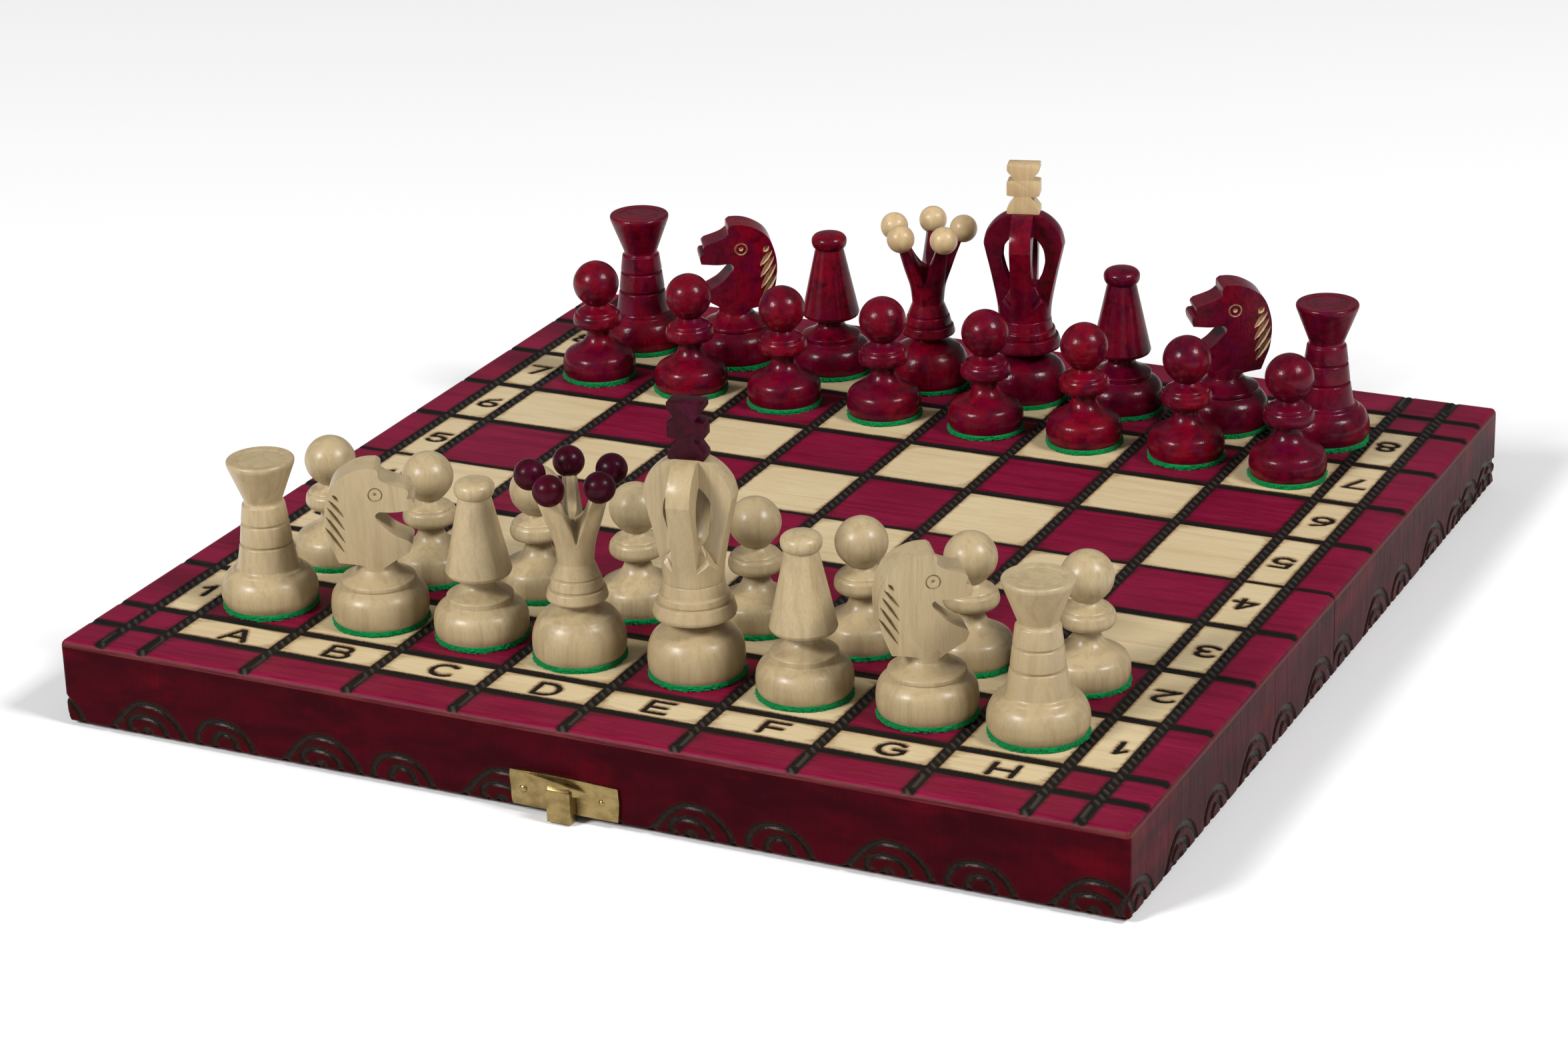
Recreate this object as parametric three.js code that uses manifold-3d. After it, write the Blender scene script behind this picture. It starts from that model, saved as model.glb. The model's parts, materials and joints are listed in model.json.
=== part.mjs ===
// Folding wooden chess box, set up for play: two shallow trays lie open side down, their backs form the
// board, and 32 turned chessmen stand on it. Millimetres, +Z up, +X from the a-file to the h-file,
// +Y from White's side to Black's. The hinge line runs along X between ranks 4 and 5.
import * as THREE from "three";
import { mergeVertices } from "three/addons/utils/BufferGeometryUtils.js";
import Module from "manifold-3d";

const wasm = await Module();
wasm.setup();

// ---------------------------------------------------------------- driving dimensions
const SQUARE = 28.8;
const NUMBER_BAND = 12; // the band of rank numbers, beside the a-file and the h-file
const LETTER_BAND = 11.8; // the band of file letters, in front of rank 1 and behind rank 8
const SIDE_BORDER = 12;
const END_BORDER = 13.5;
const HALF_WIDTH = 4 * SQUARE + NUMBER_BAND + SIDE_BORDER;
const HALF_LENGTH = 4 * SQUARE + LETTER_BAND + END_BORDER;

const HINGE_RADIUS = 1; // the barrels' lower halves stand under the rims
const RIM_Z = HINGE_RADIUS + 0.1;
const BOX_DEPTH = 21.7;
const TOP_Z = RIM_Z + BOX_DEPTH;
const PANEL = 3.6;
const PANEL_Z = TOP_Z - PANEL;
const WALL = 8;
const SEAM = 0.2; // from the hinge plane to each half
const CORNER = 1.2;
const EDGE_ROUND = 1.9;

const HINGE_X = 88;
const HINGE_LENGTH = 30;
const KNUCKLE = HINGE_LENGTH / 3;
const LEAF_DEPTH = 7.5;
const LEAF = 0.8;
const PIN_RADIUS = 0.5;
const RUNNING_GAP = 0.06;
const KNUCKLE_NOTCH = 1.35;

const LATCH = { halfWidth: 14.3, bottom: 1.9, top: 10.9, sheet: 0.7 };
const BAND = {
  wide: 12.4, flat: 4.4, foot: 1.5, reach: 2.6, sheet: 0.6, barZ: 8, barHalf: 0.4,
  slotHalf: 3.4, slotTop: 9.9,
};
const TONGUE = {
  halfWidth: 3.1, bottom: 0.6, sheet: 0.6, gap: 0.6, flangeTop: 7, flangeNear: 1.1, hookDrop: 0.5,
};
const TONGUE_REACH = BAND.reach + TONGUE.gap + TONGUE.sheet;
const CATCH = { halfWidth: 6, top: 8.5, nibHalf: 2, nibTop: 2.15, nibReach: 2.6 };
// the tongue stands further out than the catch, so the hinge line lies this far behind the middle
const SHIFT_Y = (TONGUE_REACH - CATCH.nibReach) / 2;

const ROUND_SIDES = 12;
const CARVED_SIDES = 12;
const BALL_RADIUS = 3.85;
const POINT_RING = 10.2; // from the queen's axis to each ball
const BALL_Z = { white: 46, black: 44.8 };
const HEAD_THICKNESS = 9;
const RIB = 5.8;
const LEAF_SLOPE = THREE.MathUtils.degToRad(50); // of the ridges between the king's ribs
const CROSS_THICKNESS = 5;

// Turned outlines, [radius, height], from the felt disc under the base up to the last point on the axis.
const PAWN = [
  [0, 0], [10.3, 0], [10.2, 6], [7, 8.9], [3.7, 11.6], [3.15, 15.5], [6.6, 15.9], [6.4, 18.6],
  [3.05, 21.7], [5.7, 24.4], [6.45, 27.8], [4.9, 32.2], [0, 34.3],
];
const ROOK = [
  [0, 0], [11.7, 0], [12, 3.8], [11.4, 6.9], [9.4, 9.3], [7.7, 10.4], [6.6, 16.3], [5.8, 16.7],
  [6.5, 17.1], [5.95, 21.8], [5.3, 22.2], [5.9, 22.6], [5.3, 26.9], [4.75, 27.9], [8.35, 37.2],
  [8.45, 38.6], [0, 38.6],
];
const BISHOP = [
  [0, 0], [11.4, 0], [11.6, 4], [11.1, 7], [8.3, 9.3], [8.2, 11], [5.4, 12.2], [3.8, 13.6],
  [3.75, 16.1], [6.7, 16.2], [8.1, 17.4], [3.95, 36.2], [4.6, 36.8], [4.95, 38], [4.8, 39.2],
  [3.8, 40.2], [0, 40.8],
];
const KNIGHT_BASE = [
  [0, 0], [11.9, 0], [12, 5], [11.3, 8], [9, 10.2], [9.2, 11.3], [6.2, 12.8], [4.85, 14.4],
  [4.85, 17.4], [0, 17.4],
];
const QUEEN = [
  [0, 0], [11.3, 0], [11.35, 5], [10.8, 8], [8.6, 11.5], [6.2, 12.7], [4.5, 14], [4.4, 15.4],
  [7.4, 15.5], [7, 18], [6.1, 18.2], [6.5, 18.5], [5.9, 21], [5.3, 21.2], [5.6, 21.4], [4.4, 24.6],
  [5.1, 29.6], [8.5, 39.6], [9.9, 43.3], [7.6, 43.6], [5.2, 39], [0, 35.6],
];
const KING = [
  [0, 0], [11.6, 0], [11.7, 5.2], [11, 8.6], [8.9, 11.3], [6.4, 12.7], [4.7, 14], [4.6, 15.5],
  [9.9, 15.6], [9.5, 18.6], [8, 19], [8.6, 19.4], [8.2, 21.2], [7.7, 21.4], [7.3, 24.2], [0, 24.2],
];
const KING_CROWN = [
  [0, 24.1], [7.3, 24.1], [7.6, 28.5], [11.1, 45.2], [10.8, 47.4], [9.3, 50.8], [6.6, 53.6],
  [3.6, 54.8], [0, 54.8],
];
const KING_HOLLOW = [
  [0, 31.5], [2.6, 32], [4.1, 33], [5.6, 36.5], [6.7, 41.5], [6.2, 45], [4.6, 47.7], [0, 49.6],
];

// The horse's head in side view, [forward, height], from the nape round by the ear, nose and chest.
const HORSE = [
  [-3.5, 16], [-8.9, 16.9], [-10, 19.8], [-11.2, 23.2], [-11.7, 27.5], [-11.5, 31.2], [-10.4, 35.2],
  [-8.9, 37.7], [-6.5, 39.5], [-3.9, 40.7], [-1.4, 41.2], [0.9, 41.2], [1.9, 40.5], [2, 38.2],
  [5.5, 36.6], [8.2, 35.8], [9, 34.8], [8.4, 33], [9.6, 32.9], [10.1, 31.9], [9.8, 30.2],
  [5, 29.7], [1.6, 29.9], [0.5, 29.1], [0.7, 28], [4.2, 24], [6.6, 22.4], [9.1, 20.9],
  [8.4, 19.2], [3.8, 16.4], [0.2, 14.4],
];
// Half of the king's cross in front view, [sideways, height over its foot].
const CROSS = [
  [4.5, 0], [4.5, 1.6], [2, 5], [4.5, 5.3], [4.5, 9.3], [2.1, 9.6], [4.4, 12.4], [4.4, 14.2],
];
const CROSS_Z = 55;

// Where each man stands: off the middle of its square [across, away], as a hand sets them out,
// and the heading of those that have one, in degrees from +X.
const WHITE_BACK = {
  a: ["rook", -1.8, -1], b: ["knight", 0, 0.8, 26], c: ["bishop", -0.8, 1.5], d: ["queen", -1.6, -0.6, -22],
  e: ["king", 0, 1.2, 10], f: ["bishop", 0, 0], g: ["knight", 2, 0.8, 34], h: ["rook", 1, 0.2],
};
const BLACK_BACK = {
  a: ["rook", -2.4, 1.2], b: ["knight", -1, 0.7, 212], c: ["bishop", -0.5, 2], d: ["queen", 1, 1.4, -40],
  e: ["king", 1.4, 1, 15], f: ["bishop", 0.6, 2.3], g: ["knight", 2.4, 0.4, 212], h: ["rook", 2.2, 0],
};
const WHITE_PAWNS = {
  a: [-1.6, 1.35], b: [-1.7, 0.65], c: [-0.8, 2.2], d: [-1.3, 1], e: [1.15, 3.2], f: [1.4, 1.2],
  g: [0.3, 2.1], h: [1, 1.6],
};
const BLACK_PAWNS = {
  a: [-2.4, 2.4], b: [-1.7, 1.6], c: [-1.6, 1.4], d: [-0.7, 2.9], e: [0.8, 3], f: [0.8, 2.7], g: [1.1, 2.7],
  h: [1.9, -0.8],
};

// The turner's work varies a little, so some men stand taller or shorter than their outline.
const STATURE = { white_pawn: 0.968, black_pawn: 0.99, black_king: 0.982, black_rook_a8: 1.03 };

// ---------------------------------------------------------------- materials
const plain = (color, roughness, metalness = 0) =>
  new THREE.MeshStandardMaterial({ color, roughness, metalness });
const boardRed = plain(0x7d1238, 0.4);
const wallRed = plain(0x4c0616, 0.35);
const paleWood = plain(0xc9b083, 0.5);
const redWood = plain(0x6f0a26, 0.35);
const darkRed = plain(0x40101f, 0.45);
const brass = plain(0x8f7a45, 0.35, 1);

// ---------------------------------------------------------------- geometry helpers
function solid(geometry) {
  const bare = geometry.index ? geometry.toNonIndexed() : geometry.clone();
  bare.deleteAttribute("normal");
  bare.deleteAttribute("uv");
  const merged = mergeVertices(bare, 1e-3);
  return new wasm.Manifold(
    new wasm.Mesh({
      numProp: 3,
      vertProperties: merged.attributes.position.array,
      triVerts: new Uint32Array(merged.index.array),
    }),
  );
}

function geometryOf(made) {
  const mesh = made.getMesh();
  const geometry = new THREE.BufferGeometry();
  geometry.setAttribute("position", new THREE.BufferAttribute(mesh.vertProperties, 3));
  geometry.setIndex(new THREE.BufferAttribute(mesh.triVerts, 1));
  return geometry;
}

function box([x0, x1], [y0, y1], [z0, z1]) {
  return new THREE.BoxGeometry(x1 - x0, y1 - y0, z1 - z0)
    .translate((x0 + x1) / 2, (y0 + y1) / 2, (z0 + z1) / 2);
}

function turned(outline, sides = ROUND_SIDES) {
  const points = outline.map(([radius, height]) => new THREE.Vector2(radius, height));
  return new THREE.LatheGeometry(points, sides).rotateX(Math.PI / 2);
}

function rodAlongX(radius, [x0, x1], y, z) {
  return new THREE.CylinderGeometry(radius, radius, x1 - x0, 12)
    .rotateZ(Math.PI / 2)
    .translate((x0 + x1) / 2, y, z);
}

// A flat plate cut to an outline in the X-Z plane and centred on Y = 0.
function plateXZ(outline, thickness) {
  const shape = new THREE.Shape(outline.map(([x, z]) => new THREE.Vector2(x, z)));
  return new THREE.ExtrudeGeometry(shape, { depth: thickness, bevelEnabled: false })
    .translate(0, 0, -thickness / 2)
    .rotateX(Math.PI / 2);
}

// A closed skin over rings that have the same number of points, with a flat cap at each end.
function loft(rings) {
  const count = rings[0].length;
  const corners = rings.flat();
  const faces = [];
  for (let ring = 0; ring + 1 < rings.length; ring++) {
    for (let i = 0; i < count; i++) {
      const low = ring * count + i;
      const lowNext = ring * count + ((i + 1) % count);
      faces.push(low, lowNext, lowNext + count, low, lowNext + count, low + count);
    }
  }
  const last = (rings.length - 1) * count;
  for (let i = 1; i + 1 < count; i++) {
    faces.push(0, i + 1, i);
    faces.push(last, last + i, last + i + 1);
  }
  const geometry = new THREE.BufferGeometry();
  geometry.setAttribute("position", new THREE.Float32BufferAttribute(corners.flat(), 3));
  geometry.setIndex(faces);
  return geometry;
}

function named(name, geometry, material) {
  const mesh = new THREE.Mesh(geometry, material);
  mesh.name = name;
  return mesh;
}

// ---------------------------------------------------------------- the two trays
// Outline of the front half, anticlockwise from its left seam corner, drawn in by `inset` on its outer sides.
function halfOutline(inset) {
  const side = HALF_WIDTH - inset;
  const end = HALF_LENGTH - inset;
  const radius = Math.max(CORNER - inset, 0.5);
  const points = [[-side, -SEAM]];
  for (const [cornerX, from] of [[-1, Math.PI], [1, 1.5 * Math.PI]]) {
    for (let step = 0; step <= 4; step++) {
      const angle = from + (step / 4) * (Math.PI / 2);
      const centreX = cornerX * (side - radius);
      points.push([centreX + radius * Math.cos(angle), radius - end + radius * Math.sin(angle)]);
    }
  }
  points.push([side, -SEAM]);
  return points;
}

function panel() {
  const rings = [[PANEL_Z, 0]];
  for (let step = 0; step <= 3; step++) {
    const angle = (step / 3) * (Math.PI / 2);
    rings.push([TOP_Z - EDGE_ROUND + EDGE_ROUND * Math.sin(angle), EDGE_ROUND * (1 - Math.cos(angle))]);
  }
  return loft(rings.map(([z, inset]) => halfOutline(inset).map(([x, y]) => [x, y, z])));
}

// The end wall with both side walls, open towards the seam.
function frame() {
  const innerSide = HALF_WIDTH - WALL;
  const innerEnd = WALL - HALF_LENGTH;
  const inside = [[innerSide, -SEAM], [innerSide, innerEnd], [-innerSide, innerEnd], [-innerSide, -SEAM]];
  const outline = [...halfOutline(0), ...inside];
  const shape = new THREE.Shape(outline.map(([x, y]) => new THREE.Vector2(x, y)));
  const depth = PANEL_Z - RIM_Z;
  return new THREE.ExtrudeGeometry(shape, { depth, bevelEnabled: false }).translate(0, 0, RIM_Z);
}

function seamWall() {
  const innerSide = HALF_WIDTH - WALL;
  let wall = solid(box([-innerSide, innerSide], [-SEAM - WALL, -SEAM], [RIM_Z, PANEL_Z]));
  for (const centre of [-HINGE_X, HINGE_X]) {
    const reach = [centre - HINGE_LENGTH / 2 - 0.3, centre + HINGE_LENGTH / 2 + 0.3];
    wall = wall.subtract(solid(box(reach, [-KNUCKLE_NOTCH - LEAF_DEPTH, 0], [RIM_Z - 1, RIM_Z + LEAF])));
    wall = wall.subtract(solid(rodAlongX(KNUCKLE_NOTCH, reach, 0, HINGE_RADIUS)));
  }
  return geometryOf(wall);
}

// The back half is the front half turned round on the board's middle.
function turnedRound(geometry) {
  return geometry.clone().rotateZ(Math.PI);
}

// ---------------------------------------------------------------- hinges
// A leaf sunk into the rim, with its knuckles round the pin at y = 0.
function hingeLeaf(centre, knuckles) {
  const half = HINGE_LENGTH / 2;
  const plateZ = [RIM_Z, RIM_Z + LEAF];
  const plateY = [-KNUCKLE_NOTCH - LEAF_DEPTH + 0.3, -KNUCKLE_NOTCH];
  let leaf = solid(box([centre - half, centre + half], plateY, plateZ));
  for (const index of knuckles) {
    const start = centre - half + index * KNUCKLE + 0.1;
    const reach = [start, start + KNUCKLE - 0.2];
    const ear = solid(box(reach, [-KNUCKLE_NOTCH - 0.5, -0.3], plateZ));
    leaf = leaf.add(ear).add(solid(rodAlongX(HINGE_RADIUS, reach, 0, HINGE_RADIUS)));
  }
  const boreX = [centre - half - 1, centre + half + 1];
  const bore = rodAlongX(PIN_RADIUS + RUNNING_GAP, boreX, 0, HINGE_RADIUS);
  return geometryOf(leaf.subtract(solid(bore)));
}

function hingePin(centre) {
  return rodAlongX(PIN_RADIUS, [centre - HINGE_LENGTH / 2, centre + HINGE_LENGTH / 2], 0, HINGE_RADIUS);
}

// ---------------------------------------------------------------- latch
const FRONT = -HALF_LENGTH;

// The plate with its arched band, which stands clear of the plate and is slotted for the tongue's hook.
function latchPlate() {
  const { halfWidth, bottom, top, sheet } = LATCH;
  const { wide, flat, foot } = BAND;
  const inner = BAND.reach - BAND.sheet / 2;
  const outer = BAND.reach + BAND.sheet / 2;
  const arch = new THREE.Shape(
    [[-wide, 0.2], [-wide, sheet], [-flat, outer], [flat, outer], [wide, sheet], [wide, 0.2],
      [wide - foot, 0.2], [flat, inner], [-flat, inner], [foot - wide, 0.2]]
      .map(([x, out]) => new THREE.Vector2(x, FRONT - out)),
  );
  const bandZ = BAND.barZ - BAND.barHalf;
  const band = new THREE.ExtrudeGeometry(arch, { depth: top - bandZ, bevelEnabled: false })
    .translate(0, 0, bandZ);
  const slot = box([-BAND.slotHalf, BAND.slotHalf], [FRONT - outer - 1, FRONT - inner + 1],
    [BAND.barZ + BAND.barHalf, BAND.slotTop]);
  const plate = solid(box([-halfWidth, halfWidth], [FRONT - sheet, FRONT], [bottom, top]));
  return geometryOf(plate.add(solid(band).subtract(solid(slot))));
}

// The tongue hooks through the band's slot over the bar below it and hangs down in front of the plate.
function latchTongue() {
  const { halfWidth, bottom, sheet, gap, flangeTop, flangeNear, hookDrop } = TONGUE;
  const out = (near, far) => [FRONT - far, FRONT - near];
  const barFront = BAND.reach + gap;
  const barBack = BAND.reach - gap;
  const hookTop = BAND.barZ + gap + sheet;
  const across = [-halfWidth, halfWidth];
  let tongue = solid(box(across, out(barFront, barFront + sheet), [bottom, hookTop]));
  tongue = tongue.add(solid(box(across, out(barBack - sheet, barFront + sheet), [hookTop - sheet, hookTop])));
  tongue = tongue.add(solid(box(across, out(barBack - sheet, barBack), [BAND.barZ - hookDrop, hookTop])));
  for (const side of [-1, 1]) {
    const reach = side < 0 ? [-halfWidth, sheet - halfWidth] : [halfWidth - sheet, halfWidth];
    tongue = tongue.add(solid(box(reach, out(flangeNear, barFront + sheet), [bottom, flangeTop])));
  }
  return geometryOf(tongue);
}

// The catch on the other half, whose nib comes up behind the tongue when the box is closed.
function catchPlate() {
  const { halfWidth, top, nibHalf, nibTop, nibReach } = CATCH;
  const back = HALF_LENGTH;
  const plate = solid(box([-halfWidth, halfWidth], [back, back + LATCH.sheet], [RIM_Z, top]));
  return geometryOf(plate.add(solid(box([-nibHalf, nibHalf], [back, back + nibReach], [RIM_Z, nibTop]))));
}

// ---------------------------------------------------------------- chessmen
function knight() {
  return geometryOf(solid(turned(KNIGHT_BASE)).add(solid(plateXZ(HORSE, HEAD_THICKNESS))));
}

const pointAngles = Array.from({ length: 5 }, (_, index) => (index * 2 * Math.PI) / 5);

// Five V notches, low outside and rising to the middle, leave five points that carry the balls.
function queen(side) {
  const meetZ = 36;
  const slope = THREE.MathUtils.degToRad(49);
  const notch = new THREE.Shape([[0, 0], [7.5, 20], [-7.5, 20]].map(([x, y]) => new THREE.Vector2(x, y)));
  const groove = new THREE.ExtrudeGeometry(notch, { depth: 30, bevelEnabled: false })
    .rotateX(Math.PI / 2)
    .translate(0, 28, 0)
    .rotateX(-slope)
    .translate(0, 0, meetZ);
  let body = solid(turned(QUEEN, CARVED_SIDES));
  for (const angle of pointAngles) {
    const between = angle + Math.PI / 5 - Math.PI / 2;
    body = body.subtract(solid(groove.clone().rotateZ(between)));
    body = body.subtract(solid(ball(BALL_RADIUS + 0.3).translate(...ballPlace(side, angle))));
  }
  return geometryOf(body);
}

function ball(radius) {
  return new THREE.SphereGeometry(radius, 8, 6).rotateX(Math.PI / 2);
}

function ballPlace(side, angle) {
  return [POINT_RING * Math.cos(angle), POINT_RING * Math.sin(angle), BALL_Z[side]];
}

// Four ribs arch from the crown's foot to its top round an open middle. Between each two ribs the foot
// rises to a ridge that leans inwards.
function king() {
  const crown = solid(turned(KING_CROWN, CARVED_SIDES));
  const foot = 27;
  const across = [-13, 13]; // wider and taller than the crown
  const upright = [20, 60];
  const ribWidth = [-RIB / 2, RIB / 2];
  let ribs = solid(box(across, ribWidth, upright)).add(solid(box(ribWidth, across, upright)));
  ribs = ribs.add(solid(box(across, across, [upright[0], foot])));
  const leafSection = new THREE.Shape(
    [[0, 0], [-7, -5], [-7, -10], [7, -10], [7, -5]].map(([x, y]) => new THREE.Vector2(x, y)),
  );
  const leaf = new THREE.ExtrudeGeometry(leafSection, { depth: 12, bevelEnabled: false })
    .translate(0, 0, -8.3)
    .rotateX(Math.PI / 2 - LEAF_SLOPE)
    .translate(0, 6.3, 32);
  for (let quarter = 0; quarter < 4; quarter++) {
    ribs = ribs.add(solid(leaf.clone().rotateZ(Math.PI / 4 + (quarter * Math.PI) / 2)));
  }
  const openCrown = crown.intersect(ribs).subtract(solid(turned(KING_HOLLOW)));
  return geometryOf(solid(turned(KING, CARVED_SIDES)).add(openCrown));
}

function cross() {
  const left = CROSS.map(([x, z]) => [-x, z]).reverse();
  return plateXZ([...CROSS, ...left], CROSS_THICKNESS).translate(0, 0, CROSS_Z);
}

const makers = {
  pawn: () => turned(PAWN),
  rook: () => turned(ROOK),
  bishop: () => turned(BISHOP),
  knight,
  queen,
  king,
};

// One chessman on its square, with the pieces that are glued to it.
function chessman(side, file, rank, [kind, across, away, heading = 0]) {
  const group = new THREE.Group();
  const wood = side === "white" ? paleWood : redWood;
  const trim = side === "white" ? darkRed : paleWood;
  const name = `${side}_${kind}_${file}${rank}`;
  group.add(named(name, makers[kind](side), wood));
  if (kind === "king") group.add(named(`${name}_cross`, cross(), trim));
  if (kind === "queen") {
    pointAngles.forEach((angle, index) => {
      const made = ball(BALL_RADIUS).translate(...ballPlace(side, angle));
      group.add(named(`${name}_ball_${index + 1}`, made, trim));
    });
  }
  const column = "abcdefgh".indexOf(file) - 3.5;
  group.position.set(column * SQUARE + across, (rank - 4.5) * SQUARE + away, TOP_Z);
  group.rotation.z = THREE.MathUtils.degToRad(heading);
  group.scale.z = STATURE[name] ?? STATURE[`${side}_${kind}`] ?? 1;
  return group;
}

// ---------------------------------------------------------------- assembly
const chessSet = new THREE.Group();
chessSet.position.y = SHIFT_Y;

chessSet.add(named("front_panel", panel(), boardRed));
chessSet.add(named("front_frame", frame(), wallRed));
chessSet.add(named("front_seam_wall", seamWall(), wallRed));
chessSet.add(named("back_panel", turnedRound(panel()), boardRed));
chessSet.add(named("back_frame", turnedRound(frame()), wallRed));
chessSet.add(named("back_seam_wall", turnedRound(seamWall()), wallRed));

for (const [side, centre] of [["left", -HINGE_X], ["right", HINGE_X]]) {
  chessSet.add(named(`hinge_${side}_front_leaf`, hingeLeaf(centre, [0, 2]), brass));
  chessSet.add(named(`hinge_${side}_back_leaf`, turnedRound(hingeLeaf(-centre, [1])), brass));
  chessSet.add(named(`hinge_${side}_pin`, hingePin(centre), brass));
}
chessSet.add(named("latch_plate", latchPlate(), brass));
chessSet.add(named("latch_tongue", latchTongue(), brass));
chessSet.add(named("catch_plate", catchPlate(), brass));

for (const file of "abcdefgh") {
  chessSet.add(chessman("white", file, 1, WHITE_BACK[file]));
  chessSet.add(chessman("white", file, 2, ["pawn", ...WHITE_PAWNS[file]]));
  chessSet.add(chessman("black", file, 7, ["pawn", ...BLACK_PAWNS[file]]));
  chessSet.add(chessman("black", file, 8, BLACK_BACK[file]));
}

export default chessSet;
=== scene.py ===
"""Looks of a folding wooden chess set: two stained and burned board halves, 32 men and a brass latch.

Shapes are made in millimetres in the row frame, and scaled to metres as each piece is made.
"""
import json
import math

import bmesh
import bpy
import numpy as np
from mathutils import Matrix, Vector

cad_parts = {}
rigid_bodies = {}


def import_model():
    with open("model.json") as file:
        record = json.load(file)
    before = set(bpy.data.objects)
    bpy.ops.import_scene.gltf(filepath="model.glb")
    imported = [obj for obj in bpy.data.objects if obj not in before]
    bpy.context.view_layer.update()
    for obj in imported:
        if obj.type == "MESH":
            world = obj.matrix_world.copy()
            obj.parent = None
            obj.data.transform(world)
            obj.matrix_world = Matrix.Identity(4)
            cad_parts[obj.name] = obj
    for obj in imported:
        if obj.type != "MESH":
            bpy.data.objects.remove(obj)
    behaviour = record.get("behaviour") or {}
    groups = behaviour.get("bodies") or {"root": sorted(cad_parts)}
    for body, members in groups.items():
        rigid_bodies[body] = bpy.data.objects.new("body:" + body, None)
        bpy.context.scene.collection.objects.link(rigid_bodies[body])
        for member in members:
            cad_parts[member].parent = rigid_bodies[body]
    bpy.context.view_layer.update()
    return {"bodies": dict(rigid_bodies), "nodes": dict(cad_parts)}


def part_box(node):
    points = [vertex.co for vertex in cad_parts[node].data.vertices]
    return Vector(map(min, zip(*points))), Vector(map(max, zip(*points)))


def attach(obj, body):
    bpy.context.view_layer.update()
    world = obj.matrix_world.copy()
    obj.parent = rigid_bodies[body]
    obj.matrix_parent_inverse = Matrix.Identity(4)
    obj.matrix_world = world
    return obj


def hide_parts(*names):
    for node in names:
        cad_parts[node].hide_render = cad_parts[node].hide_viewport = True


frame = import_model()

MM = 0.001
rng = np.random.default_rng(20)


# ---- places taken from the frame
def node_points(name):
    """A CAD node's vertices in millimetres."""
    data = frame["nodes"][name].data.vertices
    flat = np.zeros(len(data) * 3)
    data.foreach_get("co", flat)
    return flat.reshape(-1, 3) / MM


def span(name):
    """A CAD node's lowest and highest corner in millimetres."""
    low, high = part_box(name)
    return np.array(low) / MM, np.array(high) / MM


PANEL_LOW, PANEL_HIGH = span("front_panel")
HALF_WIDTH = PANEL_HIGH[0]
TOP_Z = PANEL_HIGH[2]
PANEL_Z = PANEL_LOW[2]
RIM_Z = span("front_frame")[0][2]
MIDDLE_Y = (PANEL_HIGH[1] + span("back_panel")[0][1]) / 2
HALF_LENGTH = MIDDLE_Y - PANEL_LOW[1]
SEAM = MIDDLE_Y - PANEL_HIGH[1]

SQUARE = 28.8
NUMBER_BAND = 12
LETTER_BAND = 11.8
WALL = 8
CORNER = 1.2
EDGE_ROUND = 1.9

# How far each burned line strays from its ruled place, from the left and from the front.
FILE_DRIFT = (-0.6, -0.6, -0.3, -0.6, -0.6, -0.4, -0.2, 0.5, 0.2, -0.6, 0.1)
RANK_DRIFT = (-0.6, 0.15, -0.2, 0.2, 0.6, 0, 1.8, 0.1, -1, -3, -2.6)
FILE_LINE = 3.1
RANK_LINE = 2.8
FOLD_LINE = 1.5
LINE_DEPTH = 0.34
CUT_RUN = 0.5
WORN_EDGE = 0.35
ROPE_HEIGHT = 0.46
ROPE_HALF_WIDTH = 1.4
ROPE_PITCH = 2.85
ROPE_SKEW = 0.95


def ruled(band):
    """Where the burned lines are ruled across the board, with a band of that width beyond the squares."""
    edge = 4 * SQUARE
    return np.array([-edge - band, *(k * SQUARE for k in range(-4, 5)), edge + band])


FILE_LINES = ruled(NUMBER_BAND) + FILE_DRIFT
RANK_LINES = ruled(LETTER_BAND) + RANK_DRIFT


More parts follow.
